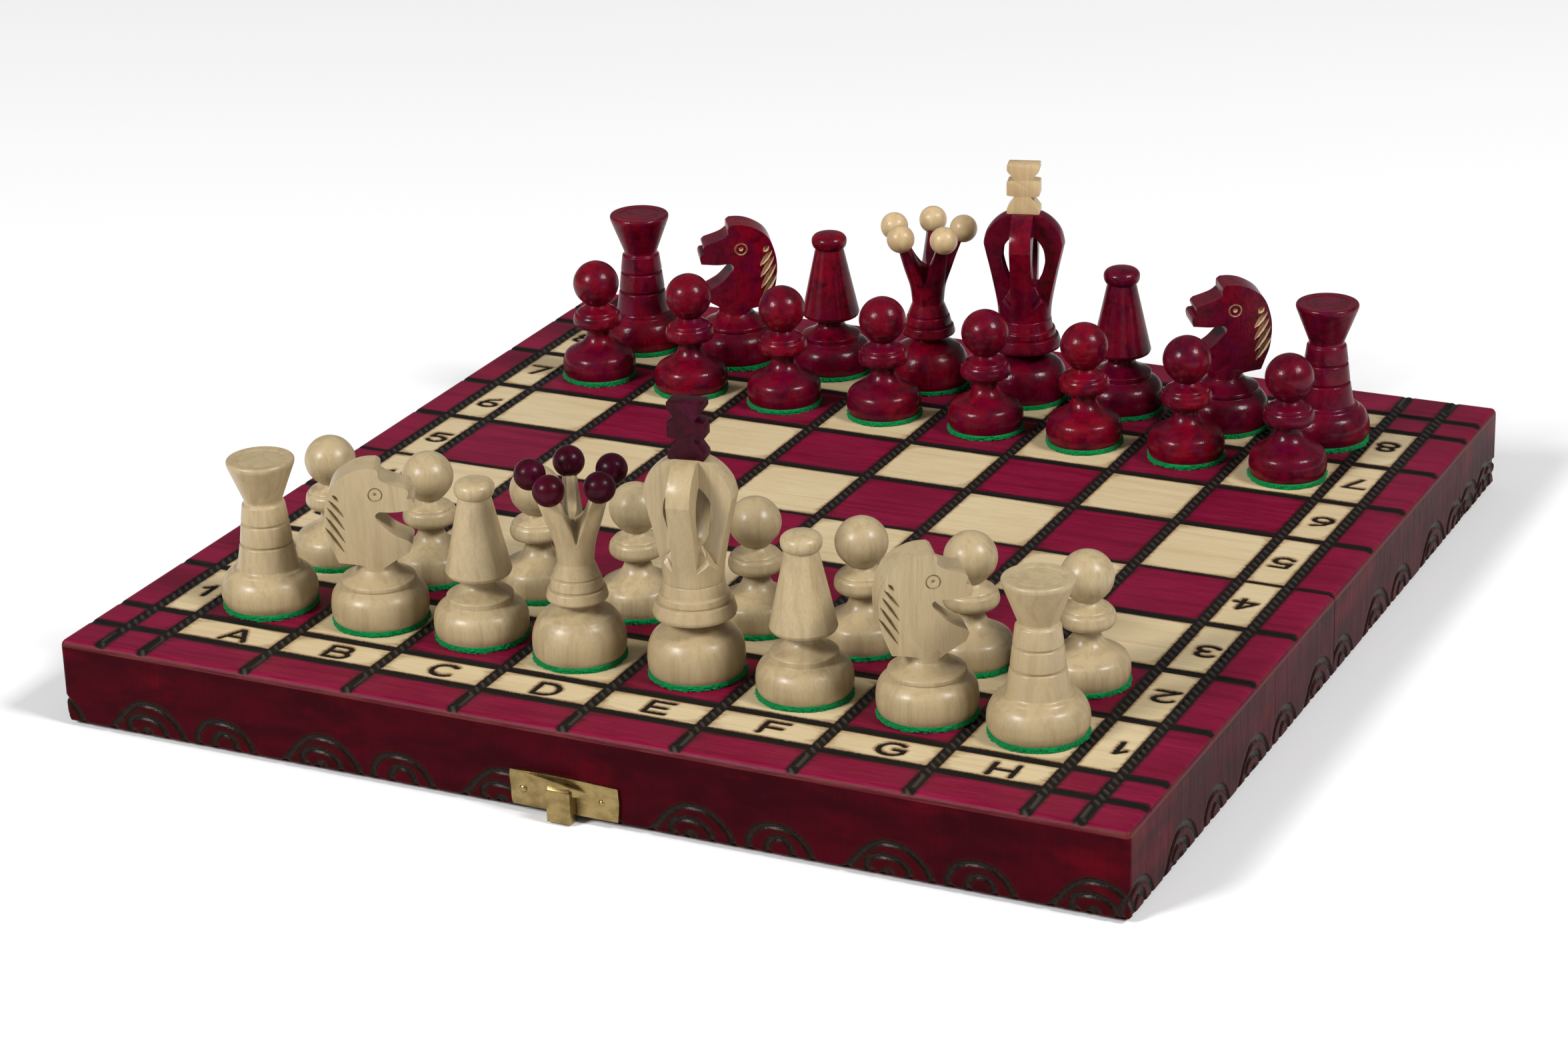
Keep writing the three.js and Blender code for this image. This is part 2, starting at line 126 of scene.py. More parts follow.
# ---- material nodes
class Shader:
    """A material whose nodes are made by calls. Inputs may be numbers, colours or other nodes' outputs."""

    def __init__(self, name):
        self.material = bpy.data.materials.new(name)
        self.material.use_nodes = True
        self.tree = self.material.node_tree
        self.tree.nodes.clear()
        self.place = self.node("ShaderNodeTexCoord").outputs["Object"]

    def node(self, kind, inputs=(), **settings):
        made = self.tree.nodes.new(kind)
        for key, value in settings.items():
            setattr(made, key, value)
        for key, value in dict(inputs).items():
            self.feed(made.inputs[key], value)
        return made

    def feed(self, socket, value):
        if isinstance(value, bpy.types.NodeSocket):
            self.tree.links.new(value, socket)
        elif isinstance(value, (tuple, list)) and len(value) == 3 and socket.type == "RGBA":
            socket.default_value = (*value, 1)
        else:
            socket.default_value = value

    def noise(self, size, detail=3, roughness=0.5, distortion=0):
        """Noise whose features have that size in millimetres, one number or one for each axis."""
        scale = [1 / (side * MM) for side in np.broadcast_to(size, 3).tolist()]
        vector = self.node("ShaderNodeMapping", {"Vector": self.place, "Scale": scale}).outputs[0]
        inputs = {
            "Vector": vector, "Scale": 1, "Detail": detail, "Roughness": roughness, "Distortion": distortion,
        }
        return self.node("ShaderNodeTexNoise", inputs).outputs[0]

    def attribute(self, name):
        return self.node("ShaderNodeAttribute", attribute_name=name).outputs["Fac"]

    def math(self, operation, a, b):
        return self.node("ShaderNodeMath", {0: a, 1: b}, operation=operation).outputs[0]

    def fade(self, value, start, end, low=0.0, high=1.0):
        inputs = {"Value": value, "From Min": start, "From Max": end, "To Min": low, "To Max": high}
        return self.node("ShaderNodeMapRange", inputs, interpolation_type="SMOOTHSTEP").outputs[0]

    def mix(self, factor, a, b):
        made = self.node("ShaderNodeMix", data_type="RGBA")
        for index, value in ((0, factor), (6, a), (7, b)):
            self.feed(made.inputs[index], value)
        return made.outputs[2]

    def layer(self, below, above, texture, start, end, share=1.0):
        """One colour over another where a texture rises from `start` to `end`, up to that share."""
        return self.mix(self.fade(texture, start, end, 0, share), below, above)

    def gloss(self, texture, low, high):
        """A roughness that a texture varies from low to high."""
        return self.fade(texture, 0.3, 0.7, low, high)

    def bump(self, height, distance, strength):
        inputs = {"Height": height, "Distance": distance * MM, "Strength": strength}
        return self.node("ShaderNodeBump", inputs).outputs[0]

    def surface(self, color, roughness, bump=None, **sockets):
        """Ends the material. `bump` is a texture, its height in millimetres and its strength."""
        inputs = {"Base Color": color, "Roughness": roughness}
        if bump:
            inputs["Normal"] = self.bump(*bump)
        inputs.update({key.replace("_", " "): value for key, value in sockets.items()})
        shader = self.node("ShaderNodeBsdfPrincipled", inputs)
        self.node("ShaderNodeOutputMaterial", {"Surface": shader.outputs[0]})
        return self.material


BURN_RAGGED = 0.5
SOOT = (0.006, 0.005, 0.0045)
SOOT_GRIT = (0.026, 0.02, 0.016)
# Painted highlight: the paler soot on the tops of the rope strands, dim and bright by the grit.
STRAND_HIGHLIGHT_DIM = (0.022, 0.018, 0.015)
STRAND_HIGHLIGHT_BRIGHT = (0.06, 0.047, 0.04)
SOOT_ROUGHNESS = (0.42, 0.42, 0.42)


def burned(shader, color, roughness, height, halo, halo_width):
    """Burns black into a stained surface where its `burn` distance, in millimetres, is below 0.

    Rope strands that stand in the burn get a painted highlight, paler soot towards their tops, by the
    `strand` attribute."""
    ragged = shader.math("MULTIPLY", shader.noise(0.5, 4, 0.65), BURN_RAGGED)
    distance = shader.math("ADD", shader.attribute("burn"), ragged)
    distance = shader.math("SUBTRACT", distance, BURN_RAGGED / 2)
    uneven = shader.math("MULTIPLY", shader.noise((7, 1.2, 5)), -halo_width)
    reach = shader.math("ADD", distance, uneven)
    scorch = shader.fade(reach, halo_width * 0.35, -halo_width * 0.75)
    char = shader.fade(distance, 0.1, -0.16)
    grit = shader.noise(0.16, 3, 0.7)
    soot = shader.layer(SOOT, SOOT_GRIT, grit, 0.5, 0.75)
    # Painted highlight: the soot turns paler towards each rope strand's top.
    strand = shader.fade(shader.attribute("strand"), 0.35, 0.95)
    soot = shader.mix(strand, soot, shader.mix(grit, STRAND_HIGHLIGHT_DIM, STRAND_HIGHLIGHT_BRIGHT))
    toned = shader.mix(scorch, color, halo)
    return (
        shader.mix(char, toned, soot),
        shader.mix(char, roughness, SOOT_ROUGHNESS),
        shader.mix(char, height, grit),
    )


def board_material(name, base, streak, dark, halo):
    """Stained plywood, its grain along x, with the burned lines."""
    shader = Shader(name)
    fine = shader.noise((9, 0.22, 4), 4, 0.65)
    broad = shader.noise((60, 3.2, 20), 3, 0.55, 0.6)
    patches = shader.noise((26, 17, 20), 2)
    pores = shader.noise((2.2, 0.13, 2), 2, 0.6)
    color = shader.layer(base, streak, fine, 0.36, 0.66)
    color = shader.layer(color, dark, broad, 0.48, 0.7, 0.5)
    color = shader.layer(color, dark, patches, 0.35, 0.7, 0.3)
    color = shader.layer(color, dark, pores, 0.66, 0.74, 0.35)
    color, rough, height = burned(shader, color, shader.gloss(fine, 0.36, 0.5), fine, halo, 1.2)
    return shader.surface(color, rough, (height, 0.12, 0.55), Specular_IOR_Level=0.12)


def wall_material():
    """The outer walls' dark red stain, with the scorch round the arcs."""
    shader = Shader("wall_red")
    grain = shader.noise((0.5, 0.5, 14), 3, 0.6)
    clouds = shader.noise((22, 22, 9), 3, 0.6, 0.4)
    specks = shader.noise(0.35, 2)
    bright = shader.noise((30, 30, 12), 3, 0.55, 0.3)
    color = shader.layer((0.026, 0.0005, 0.0025), (0.05, 0.0006, 0.004), clouds, 0.34, 0.68)
    color = shader.layer(color, (0.1, 0.0008, 0.005), bright, 0.54, 0.74, 0.7)
    color = shader.layer(color, (0.018, 0.0006, 0.003), grain, 0.4, 0.75, 0.35)
    color = shader.layer(color, (0.2, 0.05, 0.04), specks, 0.74, 0.8, 0.4)
    halo = (0.03, 0.004, 0.002)
    color, rough, height = burned(shader, color, shader.gloss(grain, 0.25, 0.4), grain, halo, 1.3)
    return shader.surface(color, rough, (height, 0.1, 0.35), Specular_IOR_Level=0.03)


def char_material():
    """The black-brown bottom of the walls' carved arcs."""
    shader = Shader("charred_groove")
    crust = shader.noise(0.9, 4, 0.65)
    grit = shader.noise(0.2, 3, 0.7)
    color = shader.layer((0.008, 0.0045, 0.0035), (0.022, 0.009, 0.006), crust, 0.4, 0.7)
    return shader.surface(color, shader.gloss(grit, 0.2, 0.38), (crust, 0.12, 0.7), Specular_IOR_Level=0.1)


def edge_material():
    """The plywood's own edge, where the stain has worn to brown."""
    shader = Shader("worn_edge")
    plies = shader.noise((12, 12, 0.5), 3, 0.6)
    fine = shader.noise((2, 2, 0.3), 3, 0.6)
    color = shader.layer((0.075, 0.003, 0.01), (0.1, 0.016, 0.014), plies, 0.4, 0.62)
    color = shader.layer(color, (0.03, 0.012, 0.009), fine, 0.55, 0.75, 0.6)
    return shader.surface(color, shader.gloss(plies, 0.35, 0.5), (fine, 0.1, 0.5), Specular_IOR_Level=0.1)


def bare_wood_material(name, light, dark, grain_size):
    """Wood without a finish. The grain size is in millimetres along x, y and z."""
    shader = Shader(name)
    grain = shader.noise(grain_size, 4, 0.6)
    broad = shader.noise([5 * size for size in grain_size], 3, 0.5, 0.5)
    color = shader.layer(light, dark, grain, 0.35, 0.7)
    color = shader.layer(color, dark, broad, 0.45, 0.75, 0.4)
    return shader.surface(color, shader.gloss(grain, 0.5, 0.65), (grain, 0.12, 0.5))


def pale_wood_material(name, light, dark, streak):
    """Turned pale wood under a thin lacquer, its grain upright."""
    shader = Shader(name)
    tone = shader.noise((34, 34, 60), 1)
    rings = shader.noise((2.4, 2.4, 40), 3, 0.5, 0.8)
    fibres = shader.noise((0.28, 0.28, 4.5), 4, 0.65)
    flecks = shader.noise((0.5, 0.5, 1.6), 2)
    color = shader.layer(light, dark, tone, 0.35, 0.65)
    color = shader.layer(color, streak, rings, 0.42, 0.7, 0.55)
    color = shader.layer(color, streak, fibres, 0.42, 0.72, 0.45)
    color = shader.layer(color, (0.28, 0.15, 0.07), flecks, 0.72, 0.8, 0.4)
    return shader.surface(
        color, shader.gloss(fibres, 0.33, 0.46), (fibres, 0.1, 0.5),
        Specular_IOR_Level=0.3, Coat_Weight=0.25, Coat_Roughness=0.24,
    )


def red_wood_material(name, bright, deep, dark, coat):
    """Turned wood stained crimson under a thick, uneven lacquer."""
    shader = Shader(name)
    tone = shader.noise((30, 30, 42), 1)
    clouds = shader.noise((3.6, 3.6, 3), 4, 0.62, 0.7)
    purple = shader.noise((5, 5, 7), 3, 0.6, 0.5)
    fibres = shader.noise((0.4, 0.4, 5), 4, 0.65)
    crinkle = shader.noise((0.7, 0.7, 0.9), 3, 0.6)
    dust = shader.noise(0.3, 2)
    color = shader.layer(bright, deep, tone, 0.35, 0.62)
    color = shader.layer(color, (0.07, 0.001, 0.022), purple, 0.42, 0.72, 0.7)
    color = shader.layer(color, dark, clouds, 0.4, 0.76, 0.8)
    color = shader.layer(color, dark, fibres, 0.45, 0.75, 0.55)
    color = shader.layer(color, (0.35, 0.12, 0.12), dust, 0.72, 0.8, 0.35)
    return shader.surface(
        color, shader.gloss(fibres, 0.3, 0.42), (fibres, 0.09, 0.5),
        Specular_IOR_Level=0.06,
        Coat_Weight=coat, Coat_Roughness=0.1, Coat_Normal=shader.bump(crinkle, 0.1, 0.6),
    )


def felt_material():
    shader = Shader("green_felt")
    fibres = shader.noise(0.22, 4, 0.7)
    matted = shader.noise((1.4, 1.4, 1.0), 3, 0.6)
    color = shader.layer((0.0, 0.12, 0.03), (0.0, 0.34, 0.085), fibres, 0.36, 0.66)
    color = shader.layer(color, (0.0, 0.2, 0.045), matted, 0.4, 0.7, 0.4)
    return shader.surface(
        color, shader.gloss(fibres, 0.85, 1), (fibres, 0.25, 0.9),
        Specular_IOR_Level=0.1, Sheen_Weight=0.08, Sheen_Roughness=0.4,
    )


def brass_material():
    """Dull brass, stained and scratched."""
    shader = Shader("aged_brass")
    stain = shader.noise((4.5, 4.5, 3), 4, 0.6)
    scratch = shader.noise((2.5, 2.5, 0.12), 3, 0.6)
    pits = shader.noise(0.4, 3, 0.6)
    color = shader.layer((0.33, 0.24, 0.1), (0.2, 0.14, 0.055), stain, 0.35, 0.68)
    color = shader.layer(color, (0.16, 0.1, 0.04), pits, 0.62, 0.76, 0.6)
    relief = shader.mix(0.5, scratch, pits)
    return shader.surface(color, shader.gloss(scratch, 0.26, 0.42), (relief, 0.05, 0.4), Metallic=1.0)


MATERIALS = {
    "cream": board_material(
        "board_cream", (0.61, 0.5, 0.31), (0.54, 0.42, 0.245), (0.47, 0.35, 0.19), (0.16, 0.08, 0.03),
    ),
    "red": board_material(
        "board_red",
        (0.15, 0.0012, 0.019), (0.215, 0.008, 0.042), (0.095, 0.0005, 0.011), (0.025, 0.003, 0.004),
    ),
    "wall": wall_material(),
    "char": char_material(),
    "edge": edge_material(),
    "inside": bare_wood_material("tray_inside", (0.62, 0.45, 0.27), (0.45, 0.3, 0.16), (30, 0.5, 0.5)),
    "pale": pale_wood_material("pale_wood", (0.45, 0.35, 0.2), (0.4, 0.305, 0.17), (0.3, 0.22, 0.115)),
    "pale_trim": pale_wood_material("pale_trim", (0.6, 0.45, 0.25), (0.53, 0.38, 0.2), (0.43, 0.29, 0.15)),
    "crimson": red_wood_material(
        "red_wood", (0.18, 0.0008, 0.01), (0.11, 0.0008, 0.012), (0.022, 0.0004, 0.003), 0.24,
    ),
    "dark_red": red_wood_material(
        "dark_red_wood", (0.045, 0.001, 0.006), (0.026, 0.001, 0.006), (0.01, 0.0005, 0.002), 0.09,
    ),
    "bare": bare_wood_material("gouged_wood", (0.55, 0.38, 0.22), (0.38, 0.23, 0.12), (0.5, 0.5, 24)),
    "felt": felt_material(),
    "brass": brass_material(),
}


# ---- mesh helpers
def new_mesh(points, faces, material_of_face=None):
    mesh = bpy.data.meshes.new("shape")
    mesh.from_pydata(np.asarray(points, float).tolist(), [], [list(map(int, f)) for f in faces])
    if material_of_face is not None:
        mesh.polygons.foreach_set("material_index", np.asarray(material_of_face, np.int32))
    mesh.validate()
    return mesh


def store(mesh, name, values):
    """Keeps one number per vertex for the materials to read."""
    mesh.attributes.new(name, "FLOAT", "POINT").data.foreach_set("value", values)


def in_scene(name, data):
    """A new object that holds this data."""
    made = bpy.data.objects.new(name, data)
    bpy.context.scene.collection.objects.link(made)
    return made


def add_piece(name, mesh, materials, body, replaced=(), turn=None, sharp=40):
    """Shows a mesh made in millimetres as a piece of the object, moved by the matrix `turn`."""
    mesh = mesh.copy()
    mesh.name = name
    for index, key in enumerate(materials):
        if index < len(mesh.materials):
            mesh.materials[index] = MATERIALS[key]
        else:
            mesh.materials.append(MATERIALS[key])
    mesh.transform(Matrix.Scale(MM, 4) @ (turn or Matrix.Identity(4)))
    mesh.shade_smooth()
    mesh.set_sharp_from_angle(angle=math.radians(sharp))
    piece = in_scene(name, mesh)
    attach(piece, body)
    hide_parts(*replaced)
    return piece


def grid_faces(rows, columns, closed=False):
    """Quads over a grid of points, row by row. `closed` joins each row's last point to its first."""
    wide = columns if closed else columns - 1
    row, column = np.meshgrid(np.arange(rows - 1), np.arange(wide), indexing="ij")
    start = row * columns
    after = (column + 1) % columns
    quads = np.stack([start + column, start + after, start + columns + after, start + columns + column], -1)
    return quads.reshape(-1, 4)


def smooth_curve(knots, steps=5):
    """Points along a Catmull-Rom curve through the knots."""
    knots = np.asarray(knots, float)
    if len(knots) < 3:
        return knots
    ends = np.vstack([2 * knots[0] - knots[1], knots, 2 * knots[-1] - knots[-2]])
    points = []
    for before, here, there, after in zip(ends, ends[1:], ends[2:], ends[3:]):
        for t in np.arange(steps) / steps:
            points.append(0.5 * (
                2 * here + (there - before) * t
                + (2 * before - 5 * here + 4 * there - after) * t * t
                + (3 * here - before - 3 * there + after) * t ** 3
            ))
    points.append(knots[-1])
    return np.array(points)


def outline(knots, fillet=0.3, steps=5, closed=False):
    """Smooth stretches joined at the corners, which are knots with a third entry and are slightly rounded."""
    knots = list(knots)
    if closed:
        first = next(i for i, knot in enumerate(knots) if len(knot) > 2)
        knots = knots[first:] + knots[:first + 1]
    runs, run = [], [knots[0][:2]]
    for knot in knots[1:]:
        run.append(knot[:2])
        if len(knot) > 2:
            runs.append(run)
            run = [knot[:2]]
    if len(run) > 1:
        runs.append(run)
    curves = [smooth_curve(r, steps) for r in runs]
    points = [] if closed else [curves[0][0]]
    joints = list(zip(curves, curves[1:] + ([curves[0]] if closed else [])))
    for i, curve in enumerate(curves):
        points.extend(curve[1:-1])
        if i < len(joints):
            corner, back, on = curve[-1], curve[-2], joints[i][1][1]
            reach = min(fillet, 0.4 * np.linalg.norm(back - corner), 0.4 * np.linalg.norm(on - corner))
            start = corner + (back - corner) * reach / np.linalg.norm(back - corner)
            end = corner + (on - corner) * reach / np.linalg.norm(on - corner)
            for t in (0, 0.33, 0.67, 1):
                points.append((1 - t) ** 2 * start + 2 * t * (1 - t) * corner + t * t * end)
        else:
            points.append(curve[-1])
    return np.array(points)


def stacked(rings, foot, top):
    """A closed solid of rings of points round the z axis, which it meets at heights `foot` and `top`."""
    count, segments = len(rings), len(rings[0])
    points = np.vstack([*rings, [[0, 0, foot]], [[0, 0, top]]])
    faces = [list(f) for f in grid_faces(count, segments, closed=True)]
    last = (count - 1) * segments
    for i in range(segments):
        j = (i + 1) % segments
        faces.append([count * segments, j, i])
        faces.append([count * segments + 1, last + i, last + j])
    return new_mesh(points, faces)


def lathe(profile, segments=72):
    """A turned solid. The profile's first and last point lie on the axis."""
    angles = np.arange(segments) * 2 * math.pi / segments
    rings = [
        np.stack([r * np.cos(angles), r * np.sin(angles), np.full(segments, z)], -1)
        for r, z in profile[1:-1]
    ]
    return stacked(rings, profile[0][1], profile[-1][1])


def slab(shape, thickness, axis="y"):
    """A flat plate cut to an outline: in the X-Z plane for axis y, in the X-Y plane for axis z."""
    shape = np.asarray(shape)
    count = len(shape)
    half = thickness / 2
    across, up = shape.T
    if axis == "y":
        near = np.stack([across, np.full(count, -half), up], -1)
        far = near + [0, thickness, 0]
    else:
        near = np.stack([across, up, np.full(count, half)], -1)
        far = near - [0, 0, thickness]
    sides = [[i, i + count, (i + 1) % count + count, (i + 1) % count] for i in range(count)]
    faces = [list(range(count)), list(range(2 * count - 1, count - 1, -1)), *sides]
    return new_mesh(np.vstack([near, far]), faces)


def block(low, high):
    """A box between two corners."""
    low, high = np.asarray(low, float), np.asarray(high, float)
    shape = [(low[0], low[1]), (high[0], low[1]), (high[0], high[1]), (low[0], high[1])]
    mesh = slab(shape, high[2] - low[2], "z")
    mesh.transform(Matrix.Translation((0, 0, (low[2] + high[2]) / 2)))
    return mesh


def tilted(place, degrees):
    """A turn about the x axis, and then a move to the place."""
    return Matrix.Translation(place) @ Matrix.Rotation(math.radians(degrees), 4, "X")


def moved(mesh, matrix):
    mesh = mesh.copy()
    mesh.transform(matrix)
    return mesh


def face_outward(mesh):
    """Turns a closed mesh's faces outward if they point in."""
    shape = bmesh.new()
    shape.from_mesh(mesh)
    if shape.calc_volume(signed=True) < 0:
        bmesh.ops.reverse_faces(shape, faces=shape.faces)
        shape.to_mesh(mesh)
    shape.free()


def ease_edges(holder, width, from_angle):
    """Bevels the edges of a mesh object that turn by more than that many degrees."""
    ease = holder.modifiers.new("ease", "BEVEL")
    ease.width = width
    ease.segments = 2
    ease.limit_method = "ANGLE"
    ease.angle_limit = math.radians(from_angle)


def in_one_material(mesh, index=0):
    """The mesh with every face set to that material."""
    mesh.polygons.foreach_set("material_index", np.full(len(mesh.polygons), index, np.int32))
    return mesh


def carved(mesh, *steps, bevel=0.0):
    """The mesh after boolean steps, each (operation, cutter mesh). Cut faces take material 1."""
    def shown(data):
        face_outward(data)
        holder = in_scene("cutter", data)
        while len(data.materials) < 2:
            data.materials.append(MATERIALS["pale"])
        return holder

    base = shown(mesh.copy())
    cutters = []
    for operation, cutter in steps:
        data = cutter.copy()
        if operation == "DIFFERENCE":
            in_one_material(data, 1)
        cutters.append(shown(data))
        modifier = base.modifiers.new("carve", "BOOLEAN")
        modifier.object = cutters[-1]
        modifier.operation = operation
        modifier.solver = "EXACT"
    if bevel:
        ease_edges(base, bevel, 35)
    bpy.context.view_layer.update()
    graph = bpy.context.evaluated_depsgraph_get()
    made = bpy.data.meshes.new_from_object(base.evaluated_get(graph), depsgraph=graph)
    for holder in (base, *cutters):
        bpy.data.objects.remove(holder)
    return made


def join(*meshes):
    """One mesh of several separate closed shells."""
    points, faces, kinds, start = [], [], [], 0
    for mesh in meshes:
        points.extend(tuple(v.co) for v in mesh.vertices)
        faces.extend([start + i for i in polygon.vertices] for polygon in mesh.polygons)
        kinds.extend(polygon.material_index for polygon in mesh.polygons)
        start += len(mesh.vertices)
    return new_mesh(points, faces, kinds)


# ---- letters and numbers
def arc(centre, radii, start, end, steps=10):
    """Points along part of an ellipse, from one angle to another in degrees."""
    angles = np.radians(np.linspace(start, end, steps))
    return [(centre[0] + radii[0] * math.cos(a), centre[1] + radii[1] * math.sin(a)) for a in angles]


# Single-stroke characters in a box from -1 to 1 each way.
GLYPHS = {
    "A": [[(-1, -1), (-0.1, 1), (0.1, 1), (1, -1)], [(-0.6, -0.35), (0.6, -0.35)]],
    "B": [[(-0.8, -1), (-0.8, 1), (0.3, 1), *arc((0.3, 0.52), (0.5, 0.48), 90, -90), (-0.8, 0.04)],
          [(0.3, 0.04), *arc((0.4, -0.48), (0.55, 0.52), 90, -90), (-0.8, -1)]],
    "C": [arc((0.1, 0), (1, 1), 48, 312, 16)],
    "D": [[(-0.8, -1), (-0.8, 1), (0, 1), *arc((0, 0), (0.9, 1), 90, -90, 14), (-0.8, -1)]],
    "E": [[(0.85, 1), (-0.75, 1), (-0.75, -1), (0.85, -1)], [(-0.75, 0), (0.6, 0)]],
    "F": [[(0.85, 1), (-0.75, 1), (-0.75, -1)], [(-0.75, 0), (0.6, 0)]],
    "G": [[*arc((0.05, 0), (1, 1), 48, 330, 16), (0.92, -0.05), (0.25, -0.05)]],
    "H": [[(-0.85, -1), (-0.85, 1)], [(0.85, -1), (0.85, 1)], [(-0.85, 0), (0.85, 0)]],
    "1": [[(-0.45, 0.45), (0.15, 1), (0.15, -1)]],
    "2": [[*arc((0, 0.45), (0.75, 0.55), 160, -30), (-0.75, -1), (0.85, -1)]],
    "3": [[*arc((-0.05, 0.5), (0.68, 0.5), 150, -90), *arc((-0.05, -0.48), (0.8, 0.52), 90, -150)]],
    "4": [[(0.9, -0.4), (-0.8, -0.4), (0.3, 1), (0.3, -1)]],
    "5": [[(0.7, 1), (-0.5, 1), (-0.65, 0.15), *arc((-0.05, -0.35), (0.75, 0.62), 120, -150)]],
    "6": [[(0.5, 0.98), (-0.3, 0.6), (-0.72, -0.1), *arc((0, -0.42), (0.72, 0.56), 170, -190, 16)]],
    "7": [[(-0.8, 1), (0.75, 1), (-0.2, -1)]],
    "8": [arc((0, 0.5), (0.6, 0.48), -90, 270, 16), arc((0, -0.48), (0.78, 0.52), 90, 450, 16)],
}
GLYPH_SIZE = np.array([3.3, 3.0])
GLYPH_STROKE = 0.66
GLYPH_DEPTH = 0.45
# How far the burned characters stray in their cells: White's letters, and the numbers beside the h-file.
LETTER_DRIFT = (
    (1.2, -0.5), (0.4, 0), (0.6, 0.4), (0.5, -0.1), (0.7, 0.3), (1.6, 0.1), (2.1, 0.3), (0.9, -0.3),
)
NUMBER_DRIFT = (
    (1.1, -0.3), (0.8, 0.4), (0.6, -0.5), (-0.3, 0.6), (-0.4, 0.3), (0, 0.8), (0.3, 0), (-0.3, 0),
)
# The finer mesh round each character: its half size, and its step.
PATCH = np.array([4.8, 4.2])
PATCH_STEP = 0.2


def stroke_distance(points, strokes):
    """How far each point is from the nearest stroke."""
    nearest = np.full(len(points), 99.0)
    for stroke in strokes:
        stroke = np.asarray(stroke, float)
        for a, b in zip(stroke, stroke[1:]):
            along = b - a
            t = np.clip(((points - a) @ along) / max(along @ along, 1e-9), 0, 1)
            nearest = np.minimum(nearest, np.linalg.norm(points - a - t[:, None] * along, axis=1))
    return nearest


def labels():
    """Each burned character with the middle of its cell and whether it is turned round."""
    found = []
    middles = [(k - 3.5) * SQUARE for k in range(8)]
    letter_y = 4 * SQUARE + LETTER_BAND / 2
    number_x = 4 * SQUARE + NUMBER_BAND / 2
    for letter, x, drift in zip("ABCDEFGH", middles, LETTER_DRIFT):
        found.append((letter, np.array([x, -letter_y - 0.3]) + drift, False))
        found.append((letter, np.array([x, letter_y]), True))
    for number, y, drift in zip("12345678", middles, NUMBER_DRIFT):
        found.append((number, np.array([-number_x - 0.6, y]), False))
        found.append((number, np.array([number_x - 0.2, y]) + drift, True))
    return found


# ---- board panels
ROW_STEP = 0.42
CREAM, RED, SIDE, UNDERSIDE, WORN = range(5)
PANEL_MATERIALS = ("cream", "red", "wall", "inside", "edge")
UNBURNED = 5.0


def line_distance(x, y):
    """Signed distance to the nearest burned line's edge, and the same for the rope lines alone."""
    ropes = np.min(np.abs(x[..., None] - FILE_LINES), -1) - FILE_LINE / 2
    widths = np.where(np.arange(11) == 5, FOLD_LINE, RANK_LINE)
    plain = np.min(np.abs(y[..., None] - RANK_LINES) - widths / 2, -1)
    return np.minimum(ropes, plain), ropes


def cut_depth(distance):
    """How deep the burned lines are sunk, by the distance to their edges."""
    t = np.clip(-distance / CUT_RUN, 0, 1)
    return LINE_DEPTH * t * t * (3 - 2 * t)


def rope_height(x, y):
    """The twisted strands that stand in the burned file lines: their height, and how near a strand's top."""
    nearest = FILE_LINES[np.argmin(np.abs(x[..., None] - FILE_LINES), -1)]
    across = x - nearest
    strand = 0.5 + 0.5 * np.cos(2 * math.pi * (y + ROPE_SKEW * across + 0.3 * nearest) / ROPE_PITCH)
    body = np.clip(1 - (across / ROPE_HALF_WIDTH) ** 2, 0, 1) ** 0.5
    return body * (0.02 + ROPE_HEIGHT * strand ** 0.8), body * strand


def round_corner(x, y):
    """Pulls a grid's square corners in to the board's rounded ones."""
    inner = np.array([HALF_WIDTH - CORNER, HALF_LENGTH - CORNER])
    a = np.clip(np.abs(x) - inner[0], 0, None) / CORNER
    b = np.clip(np.abs(y) - inner[1], 0, None) / CORNER
    both = (a > 0) & (b > 0)
    pull = np.where(both, np.maximum(a, b) / np.maximum(np.hypot(a, b), 1e-9), 1)
    new_x = np.where(both, np.sign(x) * (inner[0] + a * CORNER * pull), x)
    new_y = np.where(both, np.sign(y) * (inner[1] + b * CORNER * pull), y)
    return new_x, new_y


def edge_steps():
    """Distances in from the board's edge, close together where the edge is rounded."""
    rounded = [EDGE_ROUND * (1 - math.cos(a)) for a in np.linspace(0, math.pi / 2, 8)]
    return [*rounded, 3, CORNER, 6, 9]


def panel_rows_and_columns(front):
    """Where a half's grid has its rows and columns: close together at lines, labels and edges."""
    beside_line = [0, 0.35, 0.7, 1.05, 1.3, 1.6, 1.95]
    columns = [line + side * step for line in FILE_LINES for step in beside_line for side in (-1, 1)]
    columns += [side * (HALF_WIDTH - step) for step in edge_steps() for side in (-1, 1)]
    rows = list(np.arange(SEAM, HALF_LENGTH - 9, ROW_STEP))
    rows += [HALF_LENGTH - step for step in edge_steps()]
    ranks = [y for y in RANK_LINES if (y < -1) == front and abs(y) > 1]
    rows += [abs(y) + step for y in ranks for step in (-1.9, -1.4, -1.15, 1.15, 1.4, 1.9)]
    rows += [SEAM + 0.25, SEAM + 0.5, FOLD_LINE / 2]
    for _, (x, y), _ in labels():
        if (y < 0) == front:
            columns += [x - PATCH[0], x, x + PATCH[0]]
            rows += [abs(y) - PATCH[1], abs(y) + PATCH[1]]
    rows = -np.array(rows) if front else np.array(rows)
    return np.unique(np.round(rows, 3)), np.unique(np.round(columns, 3))


def cell_is_cream(x, y):
    in_files = abs(x) < 4 * SQUARE
    in_ranks = abs(y) < 4 * SQUARE
    if in_files and in_ranks:
        return (int(x // SQUARE) + int(y // SQUARE)) % 2 == 1
    on_letters = in_files and abs(y) < 4 * SQUARE + LETTER_BAND
    on_numbers = in_ranks and abs(x) < 4 * SQUARE + NUMBER_BAND
    return on_letters or on_numbers


